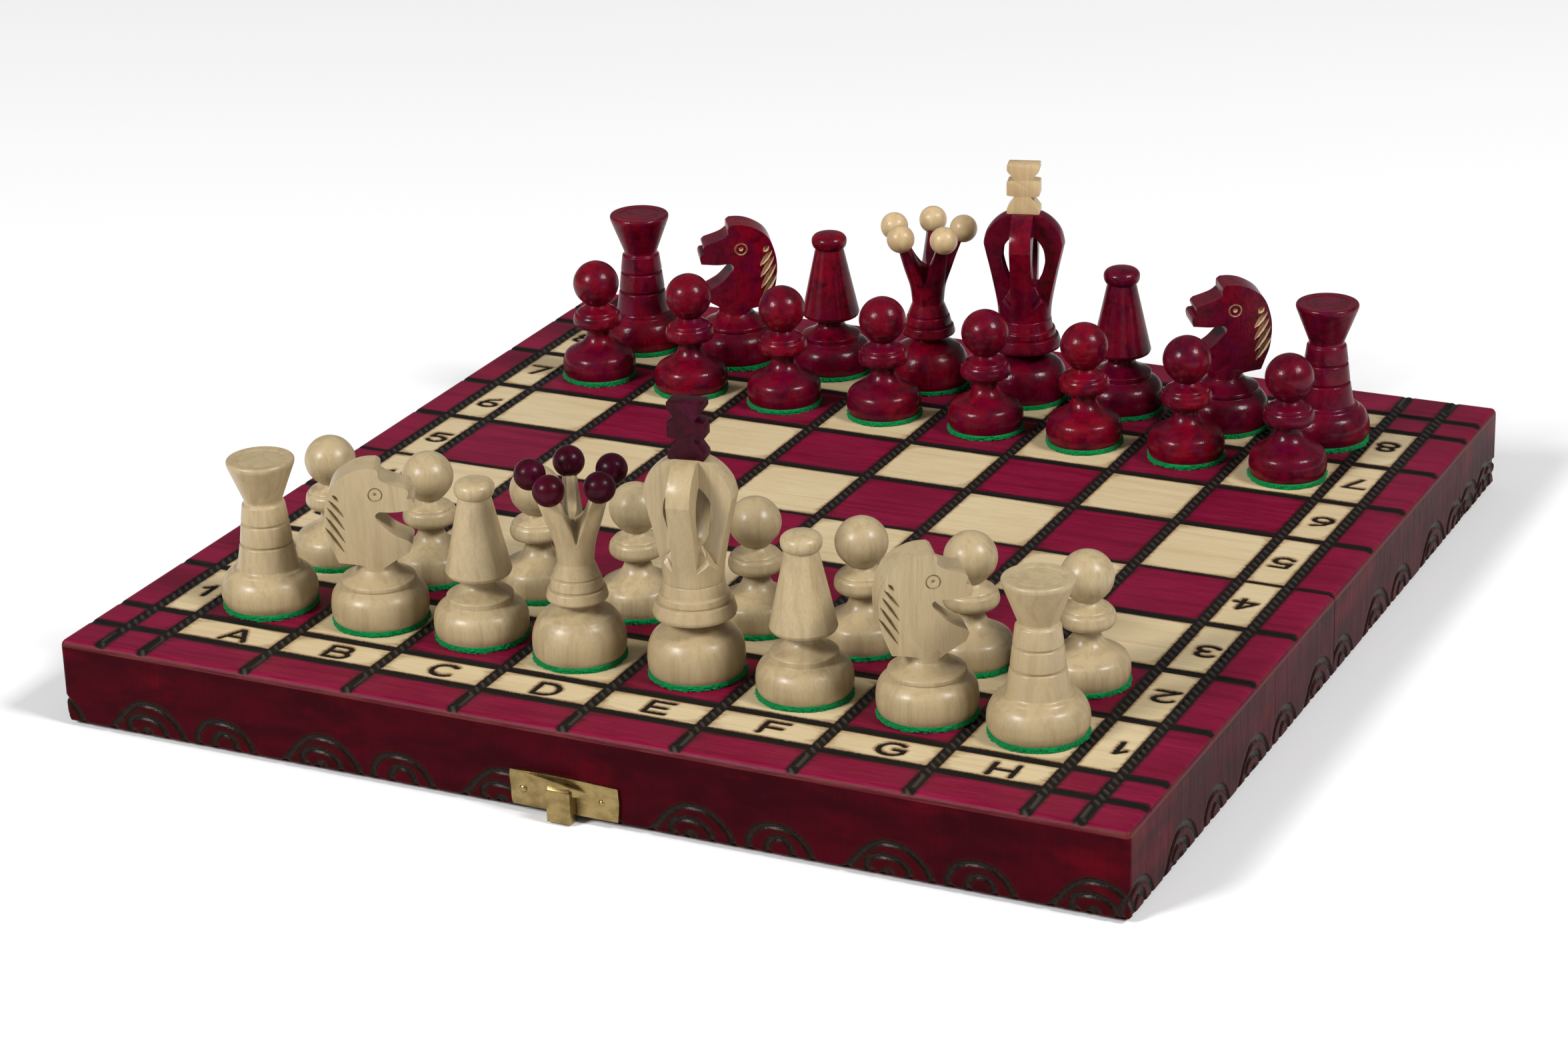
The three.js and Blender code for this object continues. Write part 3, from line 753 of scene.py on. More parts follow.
def cell_of(value, lines):
    """The ruled middle of the cell that holds a place, whose burned lines stray a little."""
    edges = np.concatenate([[-999], lines, [999]])
    index = int(np.searchsorted(edges, value)) - 1
    ruled_edges = np.concatenate([[-HALF_WIDTH - 20], ruled(NUMBER_BAND), [HALF_WIDTH + 20]])
    return (ruled_edges[index] + ruled_edges[index + 1]) / 2


def board_half(name, front):
    """One half's panel: a fine grid with sunk lines, label patches, a rounded edge, sides and underside."""
    rows, columns = panel_rows_and_columns(front)
    y, x = np.meshgrid(rows, columns, indexing="ij")
    inset = np.minimum(HALF_WIDTH - np.abs(x), HALF_LENGTH - np.abs(y))
    distance, ropes = line_distance(x, y)
    # The burn stops short of the edge, and the cut fades out there.
    burn = distance + np.clip(0.9 - inset, 0, None) * 1.2
    depth = cut_depth(distance)
    rope, strand = rope_height(x, y)
    depth -= np.where(ropes < 0, rope, 0)
    depth *= np.clip(inset / 1.2, 0, 1)
    roughness = 0.03 * rng.standard_normal(x.shape) * (distance < 0)
    inside = np.clip(EDGE_ROUND - inset, 0, None)
    drop = EDGE_ROUND - np.sqrt(np.clip(EDGE_ROUND ** 2 - inside ** 2, 0, None))
    z = TOP_Z - drop - depth - np.abs(roughness) * (inset > 1)
    bx, by = round_corner(x, y)
    points = [np.stack([bx, by, z], -1).reshape(-1, 3)]
    burns = [burn.ravel()]
    strands = np.where(ropes < 0, strand, 0).ravel()

    quads = grid_faces(len(rows), len(columns))
    middle_x = ((columns[:-1] + columns[1:]) / 2)[None, :].repeat(len(rows) - 1, 0).ravel()
    middle_y = ((rows[:-1] + rows[1:]) / 2)[:, None].repeat(len(columns) - 1, 1).ravel()
    keep = np.ones(len(quads), bool)
    here = [label for label in labels() if (label[1][1] < 0) == front]
    for _, middle, _ in here:
        keep &= ~((abs(middle_x - middle[0]) < PATCH[0]) & (abs(middle_y - middle[1]) < PATCH[1]))
    cell_x = {c: cell_of(c, FILE_LINES) for c in np.unique(middle_x)}
    cell_y = {r: cell_of(r, RANK_LINES) for r in np.unique(middle_y)}
    kinds = np.array([
        CREAM if cell_is_cream(cell_x[c], cell_y[r]) else RED for c, r in zip(middle_x[keep], middle_y[keep])
    ])
    worn = np.minimum(HALF_WIDTH - np.abs(middle_x), HALF_LENGTH - np.abs(middle_y))[keep] < WORN_EDGE
    kinds[worn] = WORN
    faces = [quads[keep]]
    material = [kinds]

    start = len(points[0])
    for character, middle, turned in here:
        patch = label_patch(character, middle, turned)
        points.append(patch["points"])
        burns.append(patch["burn"])
        faces.append(patch["faces"] + start)
        material.append(np.full(len(patch["faces"]), CREAM))
        start += len(patch["points"])

    ring = border_ring(len(rows), len(columns))
    rim = points[0][ring]
    skirt = np.concatenate([rim + [0, 0, -0.35], rim * [1, 1, 0] + [0, 0, PANEL_Z]])
    skirt[:len(ring), 2] = np.minimum(skirt[:len(ring), 2], TOP_Z - EDGE_ROUND)
    points.append(skirt)
    burns.append(np.full(len(skirt), UNBURNED))
    count = len(ring)
    levels = [ring, start + np.arange(count), start + count + np.arange(count)]
    all_faces = [list(f) for part in faces for f in part]
    kinds = [k for part in material for k in part]
    for upper, lower in zip(levels, levels[1:]):
        for i in range(count):
            j = (i + 1) % count
            all_faces.append([upper[j], upper[i], lower[i], lower[j]])
            kinds.append(SIDE)
    all_faces.append(list(levels[-1][::-1]))
    kinds.append(UNDERSIDE)
    mesh = new_mesh(np.concatenate(points) + [0, MIDDLE_Y, 0], all_faces, kinds)
    burns = np.concatenate(burns)
    strands = np.concatenate([strands, np.zeros(len(burns) - len(strands))])
    store(mesh, "burn", burns)
    store(mesh, "strand", strands)
    half = "front" if front else "back"
    add_piece(name, mesh, PANEL_MATERIALS, f"{half}_half", (f"{half}_panel",), sharp=60)


def border_ring(rows, columns):
    """Indices round a grid's border, anticlockwise."""
    bottom = np.arange(columns)
    right = np.arange(1, rows) * columns + columns - 1
    top = (rows - 1) * columns + np.arange(columns - 2, -1, -1)
    left = np.arange(rows - 2, 0, -1) * columns
    return np.concatenate([bottom, right, top, left])


def label_patch(character, middle, turned):
    """A fine grid that fills a label's opening in the panel, with the character burned in."""
    counts = np.ceil(2 * PATCH / PATCH_STEP).astype(int) + 1
    columns = np.linspace(-PATCH[0], PATCH[0], counts[0])
    rows = np.linspace(-PATCH[1], PATCH[1], counts[1])
    y, x = np.meshgrid(rows, columns, indexing="ij")
    flat = np.stack([x.ravel(), y.ravel()], -1)
    strokes = [np.asarray(stroke) * GLYPH_SIZE for stroke in GLYPHS[character]]
    local = -flat if turned else flat
    distance = stroke_distance(local + rng.uniform(-0.25, 0.25, 2), strokes)
    groove = GLYPH_DEPTH * np.clip(1 - (distance / (GLYPH_STROKE + 0.12)) ** 2, 0, 1)
    points = np.column_stack([flat + middle, TOP_Z - groove])
    lines, _ = line_distance(points[:, 0], points[:, 1])
    return {
        "points": points,
        "burn": np.minimum(distance - GLYPH_STROKE, lines),
        "faces": grid_faces(counts[1], counts[0]),
    }


# ---- walls with their carved arcs
# Each motif's strokes, [along, up] from the middle of its foot.
BIG_ARC = [
    smooth_curve([
        (-11.5, -1), (-9.4, 1.2), (-6.2, 5), (-2.6, 7.6), (0.8, 8.1), (4.8, 7.1), (8.2, 4.4), (10.2, 1.4),
        (10.8, -1),
    ]),
    smooth_curve([
        (-4.1, 0.5), (-5.2, 1.3), (-5, 3.1), (-2.8, 4.5), (0, 4.7), (3, 3.8), (4.9, 1.9), (5.3, -1),
    ]),
    smooth_curve([(-1.7, -0.4), (-0.9, 0.9), (0, 1.3), (0.6, 1.0)], 3),
]
SMALL_ARC = [
    smooth_curve([
        (-7, -0.3), (-8, 0.9), (-7.7, 3.6), (-5.3, 6.1), (-1.6, 7.1), (2.4, 6.4), (5.8, 4), (7.7, 1),
        (8.2, -1),
    ]),
    smooth_curve([(-2.9, -0.2), (-3.4, 1.1), (-2.7, 3.1), (-0.4, 4.2), (1.9, 3.3), (3, 1.2), (3.5, -1)]),
]
ARC_STROKE = 0.85
ARC_DEPTH = 0.6
FRONT_PERIOD = 49.3
FIRST_BIG = -115.5
FIRST_SMALL = -93
# Arcs on each half's two side walls, by their distance from the seam: big ones, then small ones.
ON_FRONT_HALF = {"right": ((-108.5, -59.5, -12), (-134, -84.5, -37)), "left": ((12, 60, 108), (36, 84, 132))}
ON_BACK_HALF = {"right": ((-130, -82, -34), (-106, -58, -10)), "left": ((34, 82.5, 130), (7, 55.5, 104))}
WALL_MATERIALS = ("wall", "inside", "char")
STATION = 0.32
CARVED_HEIGHT = 10
CARVED_STEP = 0.34
CORNER_PATH = CORNER * math.pi / 2


def wall_path(front_half):
    """Stations along a half's outer wall: how far along, and the point and outward normal in plan.

    The path starts at the seam on the left of someone facing that half's end wall."""
    side = HALF_LENGTH - CORNER - SEAM
    end = 2 * (HALF_WIDTH - CORNER)
    total = 2 * side + 2 * CORNER_PATH + end
    along = np.linspace(0, total, int(total / STATION))

    def corner(middle_x, angle):
        normal = (math.cos(angle), math.sin(angle))
        return (middle_x + CORNER * normal[0], CORNER - HALF_LENGTH + CORNER * normal[1]), normal

    stations = []
    for s in along:
        if s < side:
            point, normal = (-HALF_WIDTH, -SEAM - s), (-1, 0)
        elif s < side + CORNER_PATH:
            point, normal = corner(CORNER - HALF_WIDTH, math.pi + (s - side) / CORNER)
        elif s < side + CORNER_PATH + end:
            point, normal = (CORNER - HALF_WIDTH + s - side - CORNER_PATH, -HALF_LENGTH), (0, -1)
        elif s < side + 2 * CORNER_PATH + end:
            turned = (s - side - CORNER_PATH - end) / CORNER
            point, normal = corner(HALF_WIDTH - CORNER, 1.5 * math.pi + turned)
        else:
            point, normal = (HALF_WIDTH, s - total - SEAM), (1, 0)
        stations.append((*point, *normal))
    stations = np.array(stations)
    if not front_half:
        stations = -stations
    return along, stations, total


def wall_strokes(front_half, total):
    """The arcs of one half's walls, placed along its path."""
    middle = total / 2
    bigs = [middle + x for x in FIRST_BIG + FRONT_PERIOD * np.arange(-1, 6)]
    smalls = [middle + x for x in FIRST_SMALL + FRONT_PERIOD * np.arange(-1, 5)]
    sides = ON_FRONT_HALF if front_half else ON_BACK_HALF
    for side, seam in (("right", total + SEAM), ("left", -SEAM)):
        bigs += [seam + y for y in sides[side][0]]
        smalls += [seam + y for y in sides[side][1]]
    strokes = [(b, BIG_ARC) for b in bigs] + [(s, SMALL_ARC) for s in smalls]
    return [stroke + [place, RIM_Z] for place, motif in strokes for stroke in motif]


def wall(name, front_half):
    """One half's outer walls, a closed band from the seam round to the seam."""
    along, stations, total = wall_path(front_half)
    carved_rows = np.arange(RIM_Z + 0.5, RIM_Z + CARVED_HEIGHT, CARVED_STEP)
    heights = np.concatenate([[RIM_Z + 0.12], carved_rows, [RIM_Z + 12, PANEL_Z - 2, PANEL_Z]])
    up, station = np.meshgrid(heights, np.arange(len(along)), indexing="ij")
    flat = np.stack([along[station.ravel()], up.ravel()], -1)
    distance = np.full(len(flat), 99.0)
    low = flat[:, 1] < RIM_Z + CARVED_HEIGHT + 1
    strokes = wall_strokes(front_half, total)
    for stroke in strokes:
        near = low & (flat[:, 0] > stroke[:, 0].min() - 3) & (flat[:, 0] < stroke[:, 0].max() + 3)
        if near.any():
            distance[near] = np.minimum(distance[near], stroke_distance(flat[near], [stroke]))
    depth = ARC_DEPTH * np.clip(1 - (distance / ARC_STROKE) ** 2, 0, 1) ** 0.7
    foot = np.where(flat[:, 1] < RIM_Z + 0.2, 0.35, 0)
    place = stations[station.ravel()]
    outer = place[:, :2] - place[:, 2:] * (depth + foot)[:, None]
    outer = np.column_stack([outer, flat[:, 1]])

    inner_plan = inner_wall_plan(stations)
    rim = np.column_stack([stations[:, :2] - 0.6 * stations[:, 2:], np.full(len(along), RIM_Z)])
    inner_low = np.column_stack([inner_plan, np.full(len(along), RIM_Z)])
    inner_high = np.column_stack([inner_plan, np.full(len(along), PANEL_Z)])
    points = np.vstack([inner_low, rim, outer, inner_high])
    rows, count = len(heights) + 3, len(along)
    burn = np.concatenate([
        np.full(2 * count, UNBURNED), distance - ARC_STROKE + 0.05, np.full(count, UNBURNED),
    ])
    quads = grid_faces(rows, count)
    closing = np.stack([
        np.arange(count - 1) + (rows - 1) * count, np.arange(1, count) + (rows - 1) * count,
        np.arange(1, count), np.arange(count - 1),
    ], -1)
    ends = [[r * count for r in range(rows)][::-1], [r * count + count - 1 for r in range(rows)]]
    faces = [*map(list, quads), *map(list, closing), *ends]
    charred = burn[quads].mean(1) < -0.1
    kinds = [*np.where(charred, 2, 0)] + [1] * (count - 1) + [0, 0]
    mesh = new_mesh(points + [0, MIDDLE_Y, 0], faces, kinds)
    store(mesh, "burn", burn)
    half = "front" if front_half else "back"
    add_piece(name, mesh, WALL_MATERIALS, f"{half}_half", (f"{half}_frame",), sharp=60)


def inner_wall_plan(stations):
    """The inner face of the wall under each station, square in its corners."""
    limit_x, limit_y = HALF_WIDTH - WALL, HALF_LENGTH - WALL
    return np.column_stack([
        np.clip(stations[:, 0], -limit_x, limit_x), np.clip(stations[:, 1], -limit_y, limit_y),
    ])


# ---- chessmen
# Half outlines, [radius, height], and plates' outlines, [across, height]. A point marked E is a corner.
E = "edge"
PAWN = [
    (0, 1.25), (9.8, 1.25, E), (10.2, 2.6), (10.3, 4.2), (10.05, 6), (9.2, 7.6), (7, 9), (4.9, 10.25),
    (3.8, 11.6), (3.25, 13.2), (3.2, 15.25, E), (6.3, 15.45, E), (6.75, 16.2), (6.85, 17.1), (6.6, 18.4),
    (6.3, 19.0, E), (5.85, 19.15, E), (5.5, 19.9), (4, 20.8), (3.1, 21.75, E), (4.5, 23.15), (5.85, 25.1),
    (6.45, 27.8), (5.85, 30.5), (4.1, 32.8), (1.8, 34.05), (0, 34.3),
]
ROOK = [
    (0, 1.25), (11.3, 1.25, E), (11.85, 2.6), (12, 4), (11.7, 6.2), (10.6, 8.4), (9, 9.6, E),
    (8.75, 9.95, E), (7.8, 10.3, E), (7.55, 10.8, E), (6.6, 16.4, E), (5.9, 16.65, E), (6.5, 17.05, E),
    (5.95, 21.8, E), (5.4, 22.1, E), (5.9, 22.5, E), (5.3, 26.9, E), (4.75, 27.3, E), (4.75, 28, E),
    (8.35, 37.3, E), (8.45, 38.1, E), (8.1, 38.6, E), (5.9, 38.45, E), (5.7, 38.3, E), (5.4, 38.42, E),
    (0, 38.35),
]
BISHOP = [
    (0, 1.25), (11.1, 1.25, E), (11.5, 2.6), (11.6, 4.2), (11.3, 6.4), (10.2, 8.2), (8.35, 9.35, E),
    (8.15, 9.5, E), (8.2, 11, E), (7.5, 11.3, E), (5.4, 12.2), (4.1, 13.4), (3.75, 14.6), (3.75, 16.15, E),
    (6.7, 16.15, E), (7.7, 16.5), (8.1, 17.35, E), (3.95, 36.2, E), (4.6, 36.8), (4.95, 38), (4.8, 39.2),
    (3.8, 40.2), (1.8, 40.7), (0, 40.8),
]
KNIGHT_BASE = [
    (0, 1.25), (11.5, 1.25, E), (11.9, 2.6), (12, 4.8), (11.6, 7.4), (10.5, 9.1), (9.1, 10.15, E),
    (9.3, 10.5, E), (9.2, 11.45, E), (8.4, 11.8, E), (6.4, 12.8), (5.2, 14), (4.85, 14.8), (4.85, 17.4, E),
    (0, 17.4),
]
QUEEN = [
    (0, 1.25), (10.9, 1.25, E), (11.3, 2.6), (11.35, 5), (11, 7.4), (10, 9.8), (8.75, 11.4, E),
    (8.3, 11.6, E), (6.4, 12.6), (4.9, 13.5), (4.4, 14.4), (4.4, 15.35, E), (7.35, 15.45, E),
    (7.5, 15.95, E), (7, 18, E), (6.1, 18.15, E), (6.5, 18.55, E), (5.95, 20.8, E), (5.4, 21, E),
    (5.7, 21.35, E), (4.4, 24.6, E), (5, 29.5), (6.6, 34.5), (8.3, 39.5), (9.9, 43.4, E), (7.7, 43.7, E),
    (6.6, 41.4), (4.9, 38.4), (2.6, 36.2), (0, 35.5),
]
KING = [
    (0, 1.25), (11.2, 1.25, E), (11.6, 2.6), (11.7, 5.2), (11.3, 8), (10.2, 10.2), (8.95, 11.3, E),
    (8.5, 11.55, E), (6.4, 12.8), (5.1, 13.7), (4.6, 14.6), (4.6, 15.45, E), (9.85, 15.55, E), (10, 16.4),
    (9.65, 17.8), (9.3, 18.85, E), (8.3, 19.05, E), (8.6, 19.45, E), (8.35, 20.9), (7.8, 21.2, E),
    (7.7, 21.5, E), (7.3, 24.2, E), (0, 24.2),
]
KING_CROWN = [
    (0, 24), (7.25, 24, E), (7.6, 28.5), (9.2, 37), (10.9, 44.6), (11.1, 46.4), (10.2, 49.6), (8.2, 52.3),
    (5.8, 54.1), (3.8, 54.8, E), (0, 54.8),
]
KING_HOLLOW = [
    (0, 31.5), (2.6, 32), (4.1, 33), (5.6, 36.5), (6.5, 40), (6.7, 42), (6.2, 45), (4.6, 47.7), (3, 48.9),
    (0, 49.6),
]
HORSE = [
    (-6, 16.5), (-8.9, 16.9, E), (-10, 19.8), (-11.2, 23.2), (-11.7, 27.5), (-11.5, 31.2), (-10.4, 35.2),
    (-8.9, 37.7), (-6.5, 39.5), (-3.9, 40.7), (-1.4, 41.2), (0.9, 41.2, E), (1.9, 40.5, E), (1.9, 38.5, E),
    (3.4, 37.4), (5.5, 36.6), (8.2, 35.8, E), (9, 34.8), (8.4, 33.1, E), (9.6, 32.9), (10.1, 31.9),
    (9.8, 30.2, E), (5, 29.7), (1.6, 29.9, E), (0.5, 29.1, E), (0.8, 27.9, E), (4.2, 24.4), (6.8, 22.8),
    (8.6, 21.9), (9.1, 20.9), (8.4, 19.2, E), (6.1, 17.8), (3.8, 16.4), (2, 15.2), (0.2, 14.4), (-1.5, 15),
    (-3.5, 16),
]
HEAD_THICKNESS = 9
NECK_Z = 14.4
GOUGE_DEPTH = 1.1
MANE = [
    ((-9.4, 34.7), (-8, 32.8)), ((-10.4, 33.4), (-6.9, 28.7)), ((-10.9, 31.6), (-6.9, 25.3)),
    ((-11.4, 29.3), (-7, 22)), ((-11.8, 26.6), (-7.3, 19.5)),
]
EYES = {"white": (0.93, 34.35), "black": (-1.6, 34.1)}
GOUGE_WIDTH = {"white": 0.85, "black": 1.25}
HALF_CROSS = [
    (4.5, 0, E), (4.5, 1.6, E), (2, 5, E), (4.5, 5.3, E), (4.5, 9.3, E), (2.1, 9.6, E), (4.4, 12.4, E),
    (4.4, 14.2, E),
]
CROSS = HALF_CROSS + [(-x, z, E) for x, z, _ in reversed(HALF_CROSS)]
CROSS_THICKNESS = 5
GROOVE_FOOT = 36
GROOVE_SLOPE = 49
LEAF_SLOPE = 50
LEAF_PLACE = (0, 6.3, 32)
SLOT_FLOOR = 27
RIB = 5.8
FELT_THICKNESS = 1.3
FELT_LIFT = 0.04
FIBRES = 70
FIBRE_THICKNESS = 0.045


def spindle(start, end, width, depth, face):
    """A gouge's shape: deep in the middle and pointed at both ends, on the head's face at y = `face`."""
    start, end = np.asarray(start, float), np.asarray(end, float)
    along = end - start
    across = np.array([-along[1], along[0]]) / np.linalg.norm(along)
    rings = []
    for t in (0.02, 0.2, 0.5, 0.8, 0.98):
        swell = math.sin(math.pi * t) ** 0.5
        centre = start + along * t
        for side, out in ((-1, 0.6), (1, 0.6), (0, -depth * swell)):
            x, z = centre + across * side * width * max(swell, 0.2)
            rings.append((x, face + out * (1 if face > 0 else -1), z))
    faces = []
    for ring in range(4):
        for i in range(3):
            a, b = ring * 3 + i, ring * 3 + (i + 1) % 3
            faces.append([a, b, b + 3, a + 3])
    faces += [[2, 1, 0], [12, 13, 14]]
    mesh = new_mesh(rings, faces)
    if face > 0:
        mesh.flip_normals()
    return mesh


def eye_ring(eye, face):
    """A ring groove with a pit in its middle, ground into the head's face."""
    out = 1 if face > 0 else -1
    section = [(1.45, 0.6), (1.45, -0.25), (1.6, -0.4), (1.85, -0.25), (1.85, 0.6)]
    steps = 28
    points, faces = [], []
    for k in range(steps):
        a = 2 * math.pi * k / steps
        for r, h in section:
            points.append((eye[0] + r * math.cos(a), face + h * out, eye[1] + r * math.sin(a)))
    count = len(section)
    for k in range(steps):
        for i in range(count):
            a, b = k * count + i, k * count + (i + 1) % count
            c, d = ((k + 1) % steps) * count + (i + 1) % count, ((k + 1) % steps) * count + i
            faces.append([a, b, c, d] if out > 0 else [d, c, b, a])
    ring = new_mesh(points, faces)
    pit = lathe([(0, -1), (0.62, -1), (0.62, 0), (0.3, 0.45), (0, 0.55)], 16)
    return ring, moved(pit, tilted((eye[0], face, eye[1]), 90 * out))


def knight_mesh(side):
    """A turned foot whose neck is flattened to the head's thickness, and a sawn head with gouges and eyes."""
    base = lathe(outline(KNIGHT_BASE), 64)
    half = HEAD_THICKNESS / 2
    flats = [block((-20, half, NECK_Z), (20, 20, 30)), block((-20, -20, NECK_Z), (20, -half, 30))]
    foot = in_one_material(carved(base, *[("DIFFERENCE", flat) for flat in flats]))
    head = slab(outline(HORSE, 0.5, closed=True), HEAD_THICKNESS - 0.02)
    width = GOUGE_WIDTH[side]
    faces = (-half, half)
    cuts = [spindle(a, b, width, GOUGE_DEPTH, face) for a, b in MANE for face in faces]
    cuts += [part for face in faces for part in eye_ring(EYES[side], face)]
    head = carved(head, *(("DIFFERENCE", cut) for cut in cuts))
    return carved(foot, ("UNION", head))


def queen_mesh():
    """A turned body whose flared top is cut into five points by slanted V grooves."""
    body = lathe(outline(QUEEN), 80)
    notch = outline([(0, -0.1, E), (9, 24, E), (-9, 24, E)], 0.9, closed=True)
    groove = slab(notch, 30)
    groove.transform(Matrix.Translation((0, 13, 0)))
    groove.transform(tilted((0, 0, GROOVE_FOOT), -GROOVE_SLOPE))
    steps = []
    for k in range(5):
        between = 2 * math.pi * (k + 0.5) / 5 - math.pi / 2
        steps.append(("DIFFERENCE", moved(groove, Matrix.Rotation(between, 4, "Z"))))
    return in_one_material(carved(body, *steps, bevel=0.22))


def king_mesh():
    """A turned body under a hollow crown of four ribs, with a leaf that slopes down out of each opening."""
    crown = lathe(outline(KING_CROWN), 80)
    section = [(0, 0, E), (-7, -5, E), (-7, -10, E), (7, -10, E), (7, -5, E)]
    leaf = slab(outline(section, 0.3, closed=True), 12)
    leaf.transform(Matrix.Translation((0, 2.3, 0)))
    leaf.transform(tilted(LEAF_PLACE, -LEAF_SLOPE))
    leaves = [moved(leaf, Matrix.Rotation(math.pi / 4 + k * math.pi / 2, 4, "Z")) for k in range(4)]
    # The blocks differ a little, so that no two of their faces lie in one plane.
    ribs = carved(
        block((-13, -RIB / 2, 23), (13, RIB / 2, 60)),
        ("UNION", block((-RIB / 2, -13, 23.01), (RIB / 2, 13, 59.9))),
        ("UNION", block((-12.9, -12.9, 23.02), (12.9, 12.9, SLOT_FLOOR))),
        *(("UNION", part) for part in leaves),
    )
    hollow = lathe(outline(KING_HOLLOW), 32)
    open_crown = carved(crown, ("INTERSECT", ribs), ("DIFFERENCE", hollow), bevel=0.3)
    return in_one_material(join(lathe(outline(KING), 80), open_crown))


def cross_mesh():
    mesh = slab(outline(CROSS, 0.35, closed=True), CROSS_THICKNESS)
    return carved(mesh, bevel=0.35)


def ball_mesh(radius):
    """A wooden bead with a small flat where it was glued."""
    round_part = arc((0, 0), (radius, radius), -70, 84, 20)
    return lathe([(0, -0.94 * radius), *round_part, (0, radius)], 32)


def felt_mesh(radius):
    """A felt disc with a fuzzy rim and a few stray fibres."""
    segments = 150
    heights = [FELT_LIFT, 0.3, 0.6, 0.9, FELT_THICKNESS]
    angles = np.arange(segments) * 2 * math.pi / segments
    wave = 0.12 * np.sin(3 * angles + rng.uniform(0, 6)) + 0.08 * np.sin(7 * angles + rng.uniform(0, 6))
    rings = []
    for level, z in enumerate(heights):
        fuzz = 0.16 * rng.standard_normal(segments).clip(-1.5, 1.5) + (0.12 if level in (1, 2, 3) else 0)
        r = radius + wave + fuzz
        lift = 0.05 * rng.standard_normal(segments) * (0 < level < 4)
        rings.append(np.stack([r * np.cos(angles), r * np.sin(angles), z + lift], -1))
    disc = stacked(rings, heights[0], FELT_THICKNESS)
    return join(disc, *(fibre(radius) for _ in range(FIBRES)))


def fibre(radius):
    """One stray hair of felt, a thin closed spike."""
    a = rng.uniform(0, 2 * math.pi)
    outward = Vector((math.cos(a), math.sin(a), 0))
    side = Vector((-outward.y, outward.x, 0))
    root = outward * (radius - 0.1) + Vector((0, 0, rng.uniform(0.1, 1.1)))
    length = rng.uniform(0.35, 0.95)
    lean = side * rng.uniform(-0.9, 0.9) + Vector((0, 0, rng.uniform(-0.3, 0.5)))
    tip = root + (outward + lean).normalized() * length
    tip.z = max(tip.z, 0.05)
    base = [
        root + side * FIBRE_THICKNESS,
        root - side * FIBRE_THICKNESS,
        root + Vector((0, 0, FIBRE_THICKNESS * 1.6)),
    ]
    return new_mesh([*base, tip], [[0, 1, 2], [1, 0, 3], [2, 1, 3], [0, 2, 3]])


def man_axis(node):
    """The middle of a man's foot, in millimetres."""
    points = node_points(node)
    low = points[:, 2].min()
    foot = points[points[:, 2] < low + 0.01]
    middle = (foot.min(0) + foot.max(0)) / 2
    return np.array([middle[0], middle[1], low])


def heading_of(kind, node, axis):
    """Which way a carved man looks, in radians from +X."""
    if kind == "queen":
        points = node_points(f"{node}_ball_1")
        way = (points.min(0) + points.max(0)) / 2 - axis
        return math.atan2(way[1], way[0])
    if kind == "king":
        points = node_points(f"{node}_cross") - axis
        _, axes = np.linalg.eigh(np.cov(points[:, :2].T))
        return math.atan2(axes[1, 1], axes[0, 1])
    if kind == "knight":
        head = node_points(node) - axis
        head = head[head[:, 2] > 20]
        reach = np.hypot(head[:, 0], head[:, 1])
        nape = head[reach > reach.max() - 0.05].mean(0)
        return math.atan2(-nape[1], -nape[0])
    return 0.0


MESHES = {
    "pawn": lathe(outline(PAWN)),
    "rook": lathe(outline(ROOK), 80),
    "bishop": lathe(outline(BISHOP), 80),
    "white_knight": knight_mesh("white"),
    "black_knight": knight_mesh("black"),
    "queen": queen_mesh(),
    "king": king_mesh(),
    "cross": cross_mesh(),
}
FELT_RADIUS = {"pawn": 10.25, "rook": 11.7, "bishop": 11.4, "knight": 11.8, "queen": 11.2, "king": 11.6}
CROSS_Z = 55
CROSS_SUNK = 0.3
BEAD_AIM_Z = 30


def chessman(body):
    """One man's wood, felt and trim, placed, turned and scaled in height by its CAD node."""
    side, kind, _ = body.split("_")
    white = side == "white"
    axis = man_axis(body)
    shape = MESHES[f"{side}_knight" if kind == "knight" else kind]
    stature = (span(body)[1][2] - axis[2]) / max(v.co.z for v in shape.vertices)
    place = Matrix.Translation(axis) @ Matrix.Rotation(heading_of(kind, body, axis), 4, "Z")
    place = place @ Matrix.Diagonal((1, 1, stature, 1))
    wood = ("pale", "pale") if white else ("crimson", "bare")
    trim = ("dark_red",) if white else ("pale_trim",)
    add_piece(f"{body}_wood", shape, wood, body, (body,), place, sharp=34)
    turned_felt = place @ Matrix.Rotation(rng.uniform(0, 6), 4, "Z")
    add_piece(f"{body}_felt", felt_mesh(FELT_RADIUS[kind]), ("felt",), body, (), turned_felt)
    if kind == "king":
        lifted = place @ Matrix.Translation((0, 0, CROSS_Z - CROSS_SUNK))
        add_piece(f"{body}_cross_wood", MESHES["cross"], trim, body, (f"{body}_cross",), lifted)
    if kind == "queen":
        for index in range(1, 6):
            node = f"{body}_ball_{index}"
            low, high = span(node)
            middle = (low + high) / 2
            way = middle - axis - [0, 0, BEAD_AIM_Z]
            tilt = Vector(way).to_track_quat("Z", "Y").to_matrix().to_4x4()
            bead = ball_mesh((high[2] - low[2]) / 2)
            add_piece(f"{node}_bead", bead, trim, body, (node,), Matrix.Translation(middle) @ tilt)


# ---- latch
SHEET = 0.7
BAND_THICKNESS = 0.5
BAND_LENGTH = 19
BAND_BULGE = 2.25
TONGUE_SHEET = 0.6
LIP_SLOPE = 48
NAILS = ((-10.8, 0.95), (9.8, 0.8))
NAIL_Z = 6.2


